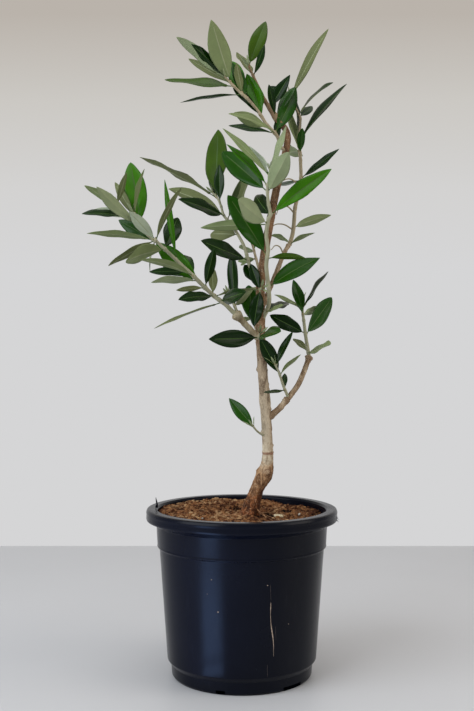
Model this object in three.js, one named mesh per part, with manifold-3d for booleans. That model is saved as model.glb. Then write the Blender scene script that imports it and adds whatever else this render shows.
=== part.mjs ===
// A young olive tree in a round plastic nursery pot, as a three.js scene graph.
// Millimetres, +Z up. The origin is the centre of the pot's flat underside, and -Y is the front.
// Each node is one closed solid: the pot, its soil, the trunk, the boughs and the masses of foliage.
import * as THREE from "three";
import { mergeVertices } from "three/addons/utils/BufferGeometryUtils.js";
import Module from "manifold-3d";

const wasm = await Module();
wasm.setup();

// ---------------------------------------------------------------- driving dimensions, mm and degrees

const CLEAR = 0.3; // the gap that two neighbouring nodes keep

const POT_SIDES = 56;
const WALL = 1.5; // thickness of the pot's wall
const FLOOR = 2.6; // thickness of the pot's floor
const RIM_TOP = 165; // height of the rim over the ground
const RIM_RADIUS = 95.2; // outside of the rolled rim
const RIM_DROP = 11; // how far the rim's outer band reaches down
const COLLAR_RADIUS = 85.1; // the collar under the rim, which tapers a little
const COLLAR_FOOT_RADIUS = 84;
const COLLAR_FOOT = 129; // where the collar steps in to the body
const BODY_TOP_RADIUS = 81.8;
const BODY_TOP = 124.8;
const BODY_FOOT_RADIUS = 74.1;
const BODY_FOOT = 17.2;
const FOOT_RADIUS = 70.4; // the recessed foot band
const FOOT_TOP = 12.4;
const BASE_RADIUS = 68.2;
const DRAINS = 5; // drain mouths in the bottom edge
const DRAIN_WIDTH = 18;
const DRAIN_HEIGHT = 3.6;
const DRAIN_DEPTH = 12; // how far a mouth reaches in under the floor
const DRAIN_TURN = -18; // the first mouth, round from the front

const SOIL_RADIUS = 82.9; // the surface, just clear of the wall
const SOIL_TOP = 158.6; // mean height of the soil's surface
const SOIL_FALL_X = -0.03; // the surface falls towards the right
const SOIL_RISE_Y = 0.022; // and rises towards the back
const SOIL_BUMP = 1.1;
const SOIL_SIDES = 44;
const SOIL_RINGS = 6;
const FOOT_PATCH = 16; // radius of the level patch that the trunk stands on

const GROUND = 157.3; // the flat cut under the trunk
const TRUNK = {
  path: [
    [2, 0, 140],
    [14, 0, 180],
    [25, 1, 206],
    [25, 3, 245],
    [19, -2, 332],
    [20, -2, 398],
    [34, 2, 480],
    [46, 4, 534],
    [36, 4, 553],
  ],
  foot: 6.2, // radius over the root flare
  tip: 2,
  taper: 1.2, // over 1, the trunk stays stout for longer before it thins
  flare: 4.2, // what the root flare adds at the ground
  flareHeight: 14,
  knots: [
    [198, 2.2],
    [272, 0.7],
    [357, 0.8],
  ],
  sides: 10,
  step: 9,
};

// A bough runs from the limb that carries it to its tip, where a mass of foliage takes over.
const BOUGHS = {
  left_bough: {
    limb: "trunk",
    path: [[18.5, -2, 333], [8, -6, 343], [-5, -12, 357]],
    foot: 3.2,
    tip: 2.9,
    knob: 2.8,
  },
  right_bough: {
    limb: "trunk",
    path: [[24, 2, 253], [36, 4, 262], [46, 6, 273]],
    foot: 3.4,
    tip: 2.9,
    knob: 0.6,
  },
  right_bough_end: {
    limb: "right_bough",
    path: [[46, 6, 273], [57, 13, 287], [64, 19, 302], [69, 24, 315]],
    foot: 2.8,
    tip: 2.5,
    knob: 1.6,
  },
  back_bough: {
    limb: "trunk",
    path: [[20.5, -2, 366], [29, 11, 386], [42, 20, 418], [48, 26, 430]],
    foot: 2.6,
    tip: 2,
    knob: 0.5,
  },
};
const BOUGH_SIDES = 8;
const BOUGH_STEP = 6;
const KNOB_REACH = 4; // how far a knob's swelling spreads along its bough

// The leaf rule. Along a flush of growth the leaves stand in opposite pairs, each pair turned a
// quarter round from the last, and every leaf strays from its place by seeded draws.
const ALONG_STRAY = 0.12; // share of the flush
const TURN_STRAY = 80;
const LEAN_STRAY = 50;
const TWIST_STRAY = 170;
const SIZE_LEAST = 0.65;
const SIZE_RANGE = 0.6;
const CURL_LEAST = -0.05;
const CURL_RANGE = 0.3;
const PLUMP_LEAST = 0.22; // a blade's width over its length
const PLUMP_RANGE = 0.1;
const BLADE_ROOT = 0.08; // share of a leaf that is its stalk
const BLADE_THICK = 0.8;
const BLADE_FOLD = 0.22; // how far the margins rise over half the width
const STALK = 0.65; // half thickness of a leaf's stalk
const TWIG_SIDES = 5;
const TWIG_STEP = 9;
const BUD = 2; // length of the bud that ends a flush

// Each mass of foliage grows from one limb, as a chain of flushes: stretches of stem with a few leaves
// each. "from" names the flush that a flush goes on from or branches off; the first starts at the limb.
// "leaves" is the count on the flush, "leaf" their mean length, "spread" the angle they stand off the
// stem, "lift" how far they turn up to the light, and "reach" the stretch of stem that bears them.
const MASSES = {
  top_leaves: {
    foot: 1.5,
    flushes: {
      one: {
        path: [[36, 4, 553], [23, 6, 573]], tip: 1.2,
        leaves: 3, leaf: 58, spread: 73, lift: 0.16, reach: [0.16, 0.6], seed: 563258,
      },
      two: {
        from: "one", path: [[13, 11, 596], [7, 10, 609]], tip: 0.9,
        leaves: 3, leaf: 43, spread: 44, lift: 0.03, reach: [0.6, 1.0], seed: 788396,
      },
    },
  },
  upper_left_leaves: {
    root: [44, 3, 521],
    foot: 1.6,
    flushes: {
      one: {
        path: [[39, 0, 525], [35, -5, 535], [25, -8, 545]], tip: 1.45,
        leaves: 3, leaf: 55, spread: 28, lift: 0.0, reach: [0.6, 1.0], seed: 399147,
      },
      two: {
        from: "one", path: [[15, -9, 560], [5, -15, 570]], tip: 1.3,
        leaves: 2, leaf: 52, spread: 27, lift: -0.15, reach: [0.0, 0.73], seed: 139410,
      },
      three: {
        from: "two", path: [[-2, -15, 576], [-8, -18, 581]], tip: 1.1,
        leaves: 3, leaf: 67, spread: 47, lift: 0.02, reach: [0.28, 1.0], seed: 366998,
      },
      four: {
        from: "three", path: [[-12, -19, 585], [-16, -21, 589]], tip: 0.8,
        leaves: 4, leaf: 61, spread: 30, lift: 0.02, reach: [0.36, 1.0], seed: 697042,
      },
    },
  },
  upper_right_leaves: {
    foot: 1.9,
    flushes: {
      one: {
        path: [[49, 26, 430], [53, 30, 445], [55, 31, 469]], tip: 1.7,
        leaves: 3, leaf: 40, spread: 53, lift: -0.16, reach: [0.08, 0.61], seed: 513241,
      },
      two: {
        from: "one", path: [[61, 35, 496], [61, 36, 519]], tip: 1.5,
        leaves: 2, leaf: 58, spread: 70, lift: 0.0, reach: [0.2, 0.95], seed: 249476,
      },
      three: {
        from: "two", path: [[60, 39, 538], [61, 38, 563]], tip: 1.2,
        leaves: 4, leaf: 65, spread: 27, lift: -0.28, reach: [0.24, 0.6], seed: 1117496,
      },
      four: {
        from: "three", path: [[50, 39, 586]], tip: 0.9,
        leaves: 3, leaf: 65, spread: 58, lift: 0.13, reach: [0.12, 0.97], seed: 234935,
      },
    },
  },
  front_leaves: {
    root: [19, -2, 350],
    foot: 1.9,
    flushes: {
      one: {
        path: [[22, -5, 356], [27, -9, 369], [26, -12, 388]], tip: 1.8,
        leaves: 3, leaf: 59, spread: 64, lift: -0.13, reach: [0.19, 0.9], seed: 425599,
      },
      two: {
        from: "one", path: [[24, -18, 405], [26, -17, 421]], tip: 1.7,
        leaves: 2, leaf: 60, spread: 63, lift: -0.13, reach: [0.5, 1.0], seed: 148217,
      },
      three: {
        from: "two", path: [[24, -20, 435], [26, -22, 451]], tip: 1.55,
        leaves: 2, leaf: 72, spread: 74, lift: -0.27, reach: [0.6, 1.0], seed: 131231,
      },
      four: {
        from: "three", path: [[28, -21, 455], [26, -24, 464]], tip: 1.4,
        leaves: 2, leaf: 71, spread: 85, lift: 0.48, reach: [0.27, 0.61], seed: 197170,
      },
      five: {
        from: "four", path: [[25, -24, 474], [25, -26, 483]], tip: 1.15,
        leaves: 2, leaf: 64, spread: 45, lift: -0.05, reach: [0.3, 1.0], seed: 143951,
      },
      six: {
        from: "five", path: [[27, -29, 490], [27, -29, 498]], tip: 0.9,
        leaves: 3, leaf: 53, spread: 40, lift: 0.09, reach: [0.59, 0.6], seed: 62497,
      },
    },
  },
  middle_left_leaves: {
    root: [20, -2, 384],
    foot: 1.7,
    flushes: {
      one: {
        path: [[19, 2, 388], [9, 8, 405], [5, 13, 419]], tip: 1.5,
        leaves: 2, leaf: 64, spread: 54, lift: -0.23, reach: [0.55, 0.97], seed: 234981,
      },
      two: {
        from: "one", path: [[1, 17, 431], [-10, 24, 451]], tip: 1.3,
        leaves: 2, leaf: 58, spread: 58, lift: 0.04, reach: [0.6, 0.98], seed: 233623,
      },
      three: {
        from: "two", path: [[-18, 28, 460], [-21, 29, 470]], tip: 1.05,
        leaves: 2, leaf: 74, spread: 55, lift: -0.12, reach: [0.09, 1.0], seed: 297085,
      },
      four: {
        from: "three", path: [[-24, 28, 477], [-30, 34, 485]], tip: 0.8,
        leaves: 3, leaf: 73, spread: 32, lift: 0.15, reach: [0.6, 0.74], seed: 809010,
      },
    },
  },
  left_knob_leaves: {
    foot: 1.4,
    flushes: {
      one: {
        path: [[-4, -11, 358], [-8, -5, 368], [-13, -6, 377]], tip: 1.0,
        leaves: 2, leaf: 55, spread: 35, lift: 0.1, reach: [0.18, 0.66], seed: 69798,
      },
    },
  },
  left_spray_leaves: {
    root: [-5, -12, 357],
    foot: 1.9,
    flushes: {
      one: {
        path: [[-9, -12, 360], [-16, -16, 367], [-23, -20, 372]], tip: 1.82,
        leaves: 2, leaf: 58, spread: 69, lift: -0.06, reach: [0.57, 1.0], seed: 202326,
      },
      two: {
        from: "one", path: [[-27, -19, 375], [-36, -25, 383]], tip: 1.75,
        leaves: 2, leaf: 46, spread: 56, lift: 0.12, reach: [0.17, 0.95], seed: 80178,
      },
      three: {
        from: "two", path: [[-46, -33, 393]], tip: 1.6,
        leaves: 3, leaf: 49, spread: 24, lift: -0.25, reach: [0.0, 0.6], seed: 536535,
      },
      four: {
        from: "three", path: [[-59, -33, 405], [-74, -40, 419]], tip: 1.45,
        leaves: 3, leaf: 70, spread: 56, lift: -0.05, reach: [0.01, 0.6], seed: 832567,
      },
      five: {
        from: "four", path: [[-83, -44, 427]], tip: 1.3,
        leaves: 3, leaf: 57, spread: 68, lift: 0.06, reach: [0.03, 1.0], seed: 470574,
      },
      six: {
        from: "five", path: [[-84, -44, 427], [-90, -45, 432]], tip: 1.15,
        leaves: 3, leaf: 61, spread: 30, lift: 0.04, reach: [0.27, 0.6], seed: 219999,
      },
      seven: {
        from: "six", path: [[-98, -44, 442], [-106, -48, 447]], tip: 1.0,
        leaves: 2, leaf: 62, spread: 39, lift: 0.05, reach: [0.09, 0.92], seed: 284947,
      },
      eight: {
        from: "seven", path: [[-113, -50, 452], [-119, -52, 460]], tip: 0.7,
        leaves: 4, leaf: 44, spread: 34, lift: -0.02, reach: [0.19, 0.96], seed: 1175958,
      },
      nine: {
        path: [[-94, -45, 436], [-100, -44, 446], [-104, -43, 454]], tip: 0.7,
        leaves: 2, leaf: 49, spread: 27, lift: -0.13, reach: [0.6, 0.98], seed: 41142,
      },
    },
  },
  trunk_upper_leaves: {
    root: [20, -2, 371],
    foot: 1.0,
    flushes: {
      one: {
        path: [[19, -3, 372], [18, -12, 381], [20, -20, 383]], tip: 0.8,
        leaves: 2, leaf: 42, spread: 79, lift: 0.23, reach: [0.1, 0.96], seed: 92014,
      },
    },
  },
  trunk_middle_leaves: {
    foot: 1.0,
    flushes: {
      one: {
        path: [[18, -3, 332], [17, -12, 335], [18, -18, 339]], tip: 0.8,
        leaves: 2, leaf: 63, spread: 45, lift: -0.06, reach: [0.23, 0.83], seed: 235773,
      },
    },
  },
  trunk_lower_leaf: {
    root: [25, 3, 236],
    foot: 1.0,
    flushes: {
      one: {
        path: [[20, -2, 238], [15, -7, 242], [11, -11, 247]], tip: 0.7,
        leaves: 1, leaf: 51, spread: 63, lift: 0.03, reach: [0.6, 1.0], seed: 83111,
      },
    },
  },
  back_upper_leaves: {
    root: [20, -2, 398],
    foot: 1.3,
    flushes: {
      one: {
        path: [[17, 6, 405], [13, 27, 423], [8, 42, 446]], tip: 0.9,
        leaves: 4, leaf: 37, spread: 31, lift: -0.2, reach: [0.49, 1.0], seed: 3679,
      },
    },
  },
  back_lower_leaves: {
    root: [19, -2, 335],
    foot: 1.3,
    flushes: {
      one: {
        path: [[14, 8, 345], [11, 25, 355], [6, 38, 374]], tip: 0.9,
        leaves: 4, leaf: 31, spread: 39, lift: -0.32, reach: [0.48, 0.87], seed: 52169,
      },
    },
  },
  right_leaves: {
    foot: 1.7,
    flushes: {
      one: {
        path: [[69, 24, 316], [66, 27, 335], [64, 31, 353]], tip: 1.35,
        leaves: 4, leaf: 52, spread: 61, lift: -0.18, reach: [0.06, 0.6], seed: 253199,
      },
      two: {
        from: "one", path: [[62, 37, 371]], tip: 1.0,
        leaves: 4, leaf: 48, spread: 31, lift: -0.18, reach: [0.34, 0.63], seed: 1174828,
      },
    },
  },
  right_twig_leaves: {
    foot: 1.3,
    flushes: {
      one: {
        path: [[47, 6, 274], [41, 1, 288], [37, -6, 300], [33, -9, 308]], tip: 0.8,
        leaves: 5, leaf: 39, spread: 60, lift: -0.14, reach: [0.25, 0.99], seed: 1250215,
      },
    },
  },
};

// ---------------------------------------------------------------- small tools

// Seeded random numbers from 0 to 1, so that every build grows the same tree.
function seeded(seed) {
  let state = seed >>> 0;
  return () => {
    state = (state + 0x6d2b79f5) >>> 0;
    let t = state;
    t = Math.imul(t ^ (t >>> 15), t | 1);
    t ^= t + Math.imul(t ^ (t >>> 7), t | 61);
    return ((t ^ (t >>> 14)) >>> 0) / 4294967296;
  };
}

const vec = (p) => new THREE.Vector3(...p);
const mix = (a, b, t) => a + (b - a) * t;
const radians = THREE.MathUtils.degToRad;

function curveOf(path) {
  return new THREE.CatmullRomCurve3(path.map(vec), false, "catmullrom", 0.5);
}

// Two directions square to the tangent, the first of them towards the front.
function frameOf(tangent) {
  const front = new THREE.Vector3(0, -1, 0);
  front.addScaledVector(tangent, -front.dot(tangent)).normalize();
  return [front, new THREE.Vector3().crossVectors(tangent, front)];
}

// A closed solid from rings of points, with a flat or pointed end at either side.
function loft(rings) {
  const points = rings.flat();
  const size = rings[0].length;
  const faces = [];
  for (let i = 0; i + 1 < rings.length; i++) {
    for (let j = 0; j < size; j++) {
      const a = i * size + j;
      const b = i * size + ((j + 1) % size);
      faces.push(a, b, a + size, b, b + size, a + size);
    }
  }
  for (const [ring, turned] of [[0, true], [rings.length - 1, false]]) {
    const middle = points.length;
    const centre = new THREE.Vector3();
    rings[ring].forEach((p) => centre.addScaledVector(p, 1 / size));
    points.push(centre);
    for (let j = 0; j < size; j++) {
      const a = ring * size + j;
      const b = ring * size + ((j + 1) % size);
      faces.push(...(turned ? [b, a, middle] : [a, b, middle]));
    }
  }
  const geometry = new THREE.BufferGeometry().setFromPoints(points);
  geometry.setIndex(faces);
  return geometry;
}

function solidOf(geometry) {
  const bare = geometry.clone();
  bare.deleteAttribute("normal");
  bare.deleteAttribute("uv");
  const merged = mergeVertices(bare, 1e-3);
  return new wasm.Manifold(
    new wasm.Mesh({
      numProp: 3,
      vertProperties: new Float32Array(merged.attributes.position.array),
      triVerts: new Uint32Array(merged.index.array),
    }),
  );
}

function joined(solids) {
  let whole = solids[0];
  for (const next of solids.slice(1)) {
    whole = whole.add(next);
  }
  return whole;
}

// The largest body of a cut solid: loose scraps are dropped.
function largest(solid) {
  const bodies = solid.decompose();
  bodies.sort((a, b) => b.volume() - a.volume());
  return bodies[0];
}

function meshOf(name, solid, material) {
  const made = solid.getMesh();
  const geometry = new THREE.BufferGeometry();
  const stride = made.numProp;
  const positions = [];
  for (let i = 0; i < made.numVert; i++) {
    positions.push(...made.vertProperties.subarray(i * stride, i * stride + 3));
  }
  geometry.setAttribute("position", new THREE.Float32BufferAttribute(positions, 3));
  geometry.setIndex(new THREE.BufferAttribute(made.triVerts, 1));
  const flat = geometry.toNonIndexed();
  flat.computeVertexNormals();
  const mesh = new THREE.Mesh(flat, material);
  mesh.name = name;
  return mesh;
}

// ---------------------------------------------------------------- limbs

// A tapering limb along a curve. "grown" widens it evenly and lengthens its ends, which gives the
// seat that a neighbour is cut clear of.
function limbSolid(curve, radiusAt, sides, step, grown, bud) {
  const steps = Math.max(2, Math.round(curve.getLength() / step));
  const rings = [];
  for (let i = 0; i <= steps; i++) {
    const t = i / steps;
    const centre = curve.getPoint(t);
    const tangent = curve.getTangent(t);
    if (i === 0) {
      centre.addScaledVector(tangent, -grown);
    }
    if (i === steps) {
      centre.addScaledVector(tangent, grown);
    }
    const [u, v] = frameOf(tangent);
    const radius = radiusAt(t, centre.z) + grown;
    rings.push(ringOf(centre, u, v, radius, sides));
  }
  if (bud) {
    const tangent = curve.getTangent(1);
    const [u, v] = frameOf(tangent);
    const centre = curve.getPoint(1).addScaledVector(tangent, bud + grown);
    rings.push(ringOf(centre, u, v, radiusAt(1, centre.z) * 0.35 + grown, sides));
  }
  return solidOf(loft(rings));
}

function ringOf(centre, u, v, radius, sides) {
  const ring = [];
  for (let j = 0; j < sides; j++) {
    const angle = (2 * Math.PI * j) / sides;
    ring.push(
      centre
        .clone()
        .addScaledVector(u, radius * Math.cos(angle))
        .addScaledVector(v, radius * Math.sin(angle)),
    );
  }
  return ring;
}

function trunkRadius(t, z) {
  const taper = mix(TRUNK.foot, TRUNK.tip, Math.pow(t, TRUNK.taper));
  const flare = TRUNK.flare * Math.exp(-Math.max(0, z - GROUND) / TRUNK.flareHeight);
  const knots = TRUNK.knots.reduce((sum, [height, swell]) => {
    return sum + swell * Math.exp(-(((z - height) / 8) ** 2));
  }, 0);
  return taper + flare + knots;
}

// The trunk's curve starts under the ground, so that the level cut runs right across its flare.
function trunkSolid(grown) {
  const curve = curveOf(TRUNK.path);
  const whole = limbSolid(curve, trunkRadius, TRUNK.sides, TRUNK.step, grown, 0);
  const block = new THREE.BoxGeometry(120, 120, 40);
  block.translate(0, 0, GROUND - grown - 20);
  return whole.subtract(solidOf(block));
}

function boughSolid(bough, grown) {
  const curve = curveOf(bough.path);
  const length = curve.getLength();
  const radiusAt = (t) => {
    const knob = bough.knob * Math.exp(-((((1 - t) * length) / KNOB_REACH) ** 2));
    return mix(bough.foot, bough.tip, t) + knob;
  };
  return limbSolid(curve, radiusAt, BOUGH_SIDES, BOUGH_STEP, grown, bough.knob);
}

// ---------------------------------------------------------------- foliage

// The leaves of one flush: where each starts, which way it points and how it is turned.
function leavesOf(flush, curve, foot) {
  const random = seeded(flush.seed);
  const roll = 360 * random();
  const pairs = Math.ceil(flush.leaves / 2);
  const leaves = [];
  for (let pair = 0; pair < pairs; pair++) {
    for (const side of [0, 1]) {
      if (leaves.length === flush.leaves) {
        break;
      }
      const [along, turn, lean, size, twist, curl, plump] = Array.from({ length: 7 }, random);
      const middle = pairs === 1 ? 0.5 : pair / (pairs - 1);
      const place = mix(flush.reach[0], flush.reach[1], middle) + ALONG_STRAY * (along - 0.5);
      const t = Math.min(1, Math.max(0.02, place));
      const around = radians(roll + 90 * pair + 180 * side + TURN_STRAY * (turn - 0.5));
      const spread = radians(flush.spread + LEAN_STRAY * (lean - 0.5));
      const turned = radians(TWIST_STRAY * (twist - 0.5));
      const length = flush.leaf * (SIZE_LEAST + SIZE_RANGE * size);
      const tangent = curve.getTangent(t);
      const [u, v] = frameOf(tangent);
      const outward = u.multiplyScalar(Math.cos(around)).addScaledVector(v, Math.sin(around));
      const way = tangent.clone().multiplyScalar(Math.cos(spread));
      way.addScaledVector(outward, Math.sin(spread));
      way.z += flush.lift;
      way.normalize();
      const upper = tangent.clone().multiplyScalar(0.5);
      upper.z += 1;
      upper.addScaledVector(way, -upper.dot(way)).normalize();
      const across = new THREE.Vector3().crossVectors(way, upper);
      upper.multiplyScalar(Math.cos(turned)).addScaledVector(across, Math.sin(turned));
      const radius = mix(foot, flush.tip, t);
      leaves.push({
        base: curve.getPoint(t).addScaledVector(outward, 0.4 * radius),
        way,
        upper,
        length,
        width: length * (PLUMP_LEAST + PLUMP_RANGE * plump),
        curl: CURL_LEAST + CURL_RANGE * curl,
      });
    }
  }
  return leaves;
}

// Each station of a blade: its share of the length, of the width and of the thickness.
const BLADE_STATIONS = [
  [0.34, 0.92, 1],
  [0.68, 0.9, 0.9],
  [0.96, 0.2, 0.5],
];

// A leaf as a closed solid: a stalk that starts inside the twig, and a folded blade that curls.
function leafSolid(leaf) {
  const { base, way, upper, length, width, curl } = leaf;
  const across = new THREE.Vector3().crossVectors(way, upper).normalize();
  const rings = [];
  const station = (s, half, thick, fold) => {
    const bend = upper.clone().addScaledVector(way, 2 * curl * s).normalize();
    const centre = base.clone().addScaledVector(way, length * s);
    centre.addScaledVector(upper, -curl * length * s * s);
    const rise = fold * half;
    rings.push([
      centre.clone().addScaledVector(across, -half).addScaledVector(bend, rise),
      centre.clone().addScaledVector(bend, thick / 2),
      centre.clone().addScaledVector(across, half).addScaledVector(bend, rise),
      centre.clone().addScaledVector(bend, -thick / 2),
    ]);
  };
  station(0, STALK, 2 * STALK, 0);
  station(BLADE_ROOT, STALK, 2 * STALK, 0);
  for (const [share, half, thick] of BLADE_STATIONS) {
    station(share, (half * width) / 2, thick * BLADE_THICK, BLADE_FOLD);
  }
  return solidOf(loft(rings));
}

// One mass: the stems of its flushes with their leaves fused on, cut clear of the limbs.
// A leaf that would touch a limb or an earlier mass is skipped.
function massSolid(mass, limbSeats, others) {
  const blocked = [...limbSeats, ...others];
  const isFree = (solid) => blocked.every((other) => solid.intersect(other).isEmpty());
  const twig = (path, foot, tip) => {
    const curve = curveOf(path);
    return limbSolid(curve, (t) => mix(foot, tip, t), TWIG_SIDES, TWIG_STEP, 0, BUD);
  };
  const pieces = [];
  for (const flush of Object.values(mass.flushes)) {
    const before = mass.flushes[flush.from];
    const path = before ? [before.path.at(-1), ...flush.path] : flush.path;
    const foot = before ? before.tip : mass.foot;
    if (mass.root && pieces.length === 0) {
      pieces.push(twig([mass.root, path[0]], foot, foot));
    }
    pieces.push(twig(path, foot, flush.tip));
    for (const leaf of leavesOf(flush, curveOf(path), foot)) {
      const blade = leafSolid(leaf);
      if (isFree(blade)) {
        pieces.push(blade);
      }
    }
  }
  return largest(limbSeats.reduce((rest, seat) => rest.subtract(seat), joined(pieces)));
}

// ---------------------------------------------------------------- pot and soil

function latheSolid(profile, sides) {
  const points = profile.map(([radius, height]) => new THREE.Vector2(radius, height));
  const geometry = new THREE.LatheGeometry(points, sides);
  geometry.rotateX(Math.PI / 2);
  return geometry;
}

function potSolid() {
  const inside = (radius) => radius - WALL;
  const profile = [
    [0, 0],
    [BASE_RADIUS, 0],
    [FOOT_RADIUS - 0.7, 2.3],
    [FOOT_RADIUS, FOOT_TOP],
    [BODY_FOOT_RADIUS, BODY_FOOT],
    [BODY_TOP_RADIUS, BODY_TOP],
    [COLLAR_FOOT_RADIUS, COLLAR_FOOT],
    [COLLAR_RADIUS, RIM_TOP - RIM_DROP - 6],
    [RIM_RADIUS - 4, RIM_TOP - RIM_DROP - 2],
    [RIM_RADIUS, RIM_TOP - RIM_DROP + 1],
    [RIM_RADIUS, RIM_TOP - 2.2],
    [RIM_RADIUS - 0.9, RIM_TOP - 0.6],
    [RIM_RADIUS - 2.6, RIM_TOP],
    [COLLAR_RADIUS + 0.3, RIM_TOP],
    [inside(COLLAR_RADIUS), RIM_TOP - 1.8],
    [inside(COLLAR_FOOT_RADIUS), COLLAR_FOOT + 1.5],
    [inside(BODY_TOP_RADIUS), BODY_TOP + 1.2],
    [inside(BODY_FOOT_RADIUS), BODY_FOOT + 1],
    [inside(FOOT_RADIUS), FOOT_TOP + 0.7],
    [inside(FOOT_RADIUS) - 0.8, FLOOR],
    [0, FLOOR],
  ];
  let pot = solidOf(latheSolid(profile, POT_SIDES));
  for (let i = 0; i < DRAINS; i++) {
    const mouth = new THREE.BoxGeometry(DRAIN_WIDTH, DRAIN_DEPTH + 10, DRAIN_HEIGHT + 5);
    mouth.translate(0, -(BASE_RADIUS - DRAIN_DEPTH / 2 + 5), (DRAIN_HEIGHT - 5) / 2);
    mouth.rotateZ(radians(DRAIN_TURN + (360 / DRAINS) * i));
    pot = pot.subtract(solidOf(mouth));
  }
  return pot;
}

// The soil's surface: level under the trunk, gently heaped and uneven further out.
function soilHeight(x, y) {
  const heap = SOIL_TOP + SOIL_FALL_X * x + SOIL_RISE_Y * y;
  const bumps = Math.sin(x * 0.11 + 1.3) * Math.cos(y * 0.13 - 0.4) + Math.sin(x * 0.05 - y * 0.07);
  const away = THREE.MathUtils.smoothstep(Math.hypot(x, y), FOOT_PATCH + 5, FOOT_PATCH + 24);
  return mix(GROUND - CLEAR, heap + SOIL_BUMP * bumps, away);
}

function soilSolid() {
  const inside = (radius) => radius - WALL - CLEAR;
  const top = 1000;
  const profile = [
    [0, FLOOR + CLEAR],
    [inside(FOOT_RADIUS) - 0.8, FLOOR + CLEAR],
    [inside(FOOT_RADIUS), FOOT_TOP + 0.9],
    [inside(BODY_FOOT_RADIUS), BODY_FOOT + 1.2],
    [inside(BODY_TOP_RADIUS), BODY_TOP + 1.4],
    [inside(COLLAR_FOOT_RADIUS), COLLAR_FOOT + 1.7],
    [SOIL_RADIUS, top],
  ];
  for (let ring = SOIL_RINGS - 1; ring >= 0; ring--) {
    const share = ring / SOIL_RINGS;
    profile.push([ring === 0 ? 0 : mix(FOOT_PATCH, SOIL_RADIUS, share), top]);
  }
  const geometry = latheSolid(profile, SOIL_SIDES);
  const positions = geometry.attributes.position;
  for (let i = 0; i < positions.count; i++) {
    if (positions.getZ(i) > top - 1) {
      positions.setZ(i, soilHeight(positions.getX(i), positions.getY(i)));
    }
  }
  return solidOf(geometry);
}

// ---------------------------------------------------------------- the tree

const LOOKS = {
  plastic: { color: 0x1b1e24, roughness: 0.42, metalness: 0 },
  soil: { color: 0x4b3526, roughness: 1, metalness: 0 },
  bark: { color: 0x8b7f6b, roughness: 0.85, metalness: 0 },
  foliage: { color: 0x4c6128, roughness: 0.5, metalness: 0 },
};
const materials = Object.fromEntries(
  Object.entries(LOOKS).map(([name, look]) => [name, new THREE.MeshStandardMaterial(look)]),
);

const tree = new THREE.Group();
tree.name = "olive_tree";

const planter = new THREE.Group();
planter.add(meshOf("pot", potSolid(), materials.plastic));
planter.add(meshOf("soil", soilSolid(), materials.soil));
tree.add(planter);

// Each limb's solid, and its widened seat that whatever grows from it is cut clear of.
const limbs = { trunk: trunkSolid(0) };
const seats = { trunk: trunkSolid(CLEAR) };
for (const [name, bough] of Object.entries(BOUGHS)) {
  limbs[name] = largest(boughSolid(bough, 0).subtract(seats[bough.limb]));
  seats[name] = boughSolid(bough, CLEAR);
}
const wood = new THREE.Group();
for (const [name, solid] of Object.entries(limbs)) {
  wood.add(meshOf(name, solid, materials.bark));
}
tree.add(wood);

const crown = new THREE.Group();
const grown = [];
for (const [name, mass] of Object.entries(MASSES)) {
  const solid = massSolid(mass, Object.values(seats), grown);
  grown.push(solid);
  crown.add(meshOf(name, solid, materials.foliage));
}
tree.add(crown);

export default tree;
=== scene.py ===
# A young olive tree in a round plastic nursery pot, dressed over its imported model.
# Shapes are worked out in millimetres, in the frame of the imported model, and stored in metres.
import itertools
import math
import random

import bpy
import numpy as np
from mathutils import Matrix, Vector, noise


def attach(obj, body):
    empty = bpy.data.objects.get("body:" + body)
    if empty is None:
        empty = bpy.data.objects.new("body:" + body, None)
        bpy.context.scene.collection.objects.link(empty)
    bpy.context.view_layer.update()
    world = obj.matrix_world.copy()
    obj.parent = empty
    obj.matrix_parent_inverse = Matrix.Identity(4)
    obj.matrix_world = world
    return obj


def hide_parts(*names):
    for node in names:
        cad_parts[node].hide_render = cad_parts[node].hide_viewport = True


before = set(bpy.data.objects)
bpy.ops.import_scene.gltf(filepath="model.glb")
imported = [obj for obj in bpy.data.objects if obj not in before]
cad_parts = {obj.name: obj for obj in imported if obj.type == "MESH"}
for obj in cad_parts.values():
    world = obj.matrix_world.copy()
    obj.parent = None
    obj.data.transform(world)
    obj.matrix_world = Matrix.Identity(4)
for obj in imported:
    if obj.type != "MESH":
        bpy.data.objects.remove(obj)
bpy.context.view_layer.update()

MM = 0.001
CLEAR = 0.3

# ---------------------------------------------------------------- the pot and its soil, mm and degrees

WALL = 1.5
FLOOR = 5  # the pot's floor over its drain mouths
RIM_TOP = 165
RIM_RADIUS = 95.2
RIM_DROP = 11
COLLAR_RADIUS = 85.1
COLLAR_FOOT_RADIUS = 84
COLLAR_FOOT = 129
BODY_TOP_RADIUS = 81.8
BODY_TOP = 124.8
BODY_FOOT_RADIUS = 74.1
BODY_FOOT = 17.2
FOOT_RADIUS = 70.4
FOOT_TOP = 12.4
BASE_RADIUS = 68.2
DRAINS = 5
DRAIN_WIDTH = 18
DRAIN_HEIGHT = 4.2
DRAIN_DEPTH = 12
DRAIN_TURN = -18
SOIL_TOP = 158.6
SOIL_FALL_X = -0.03
SOIL_RISE_Y = 0.022
SOIL_BUMP = 1.1
FOOT_PATCH = 16

# ---------------------------------------------------------------- the wood

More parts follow.
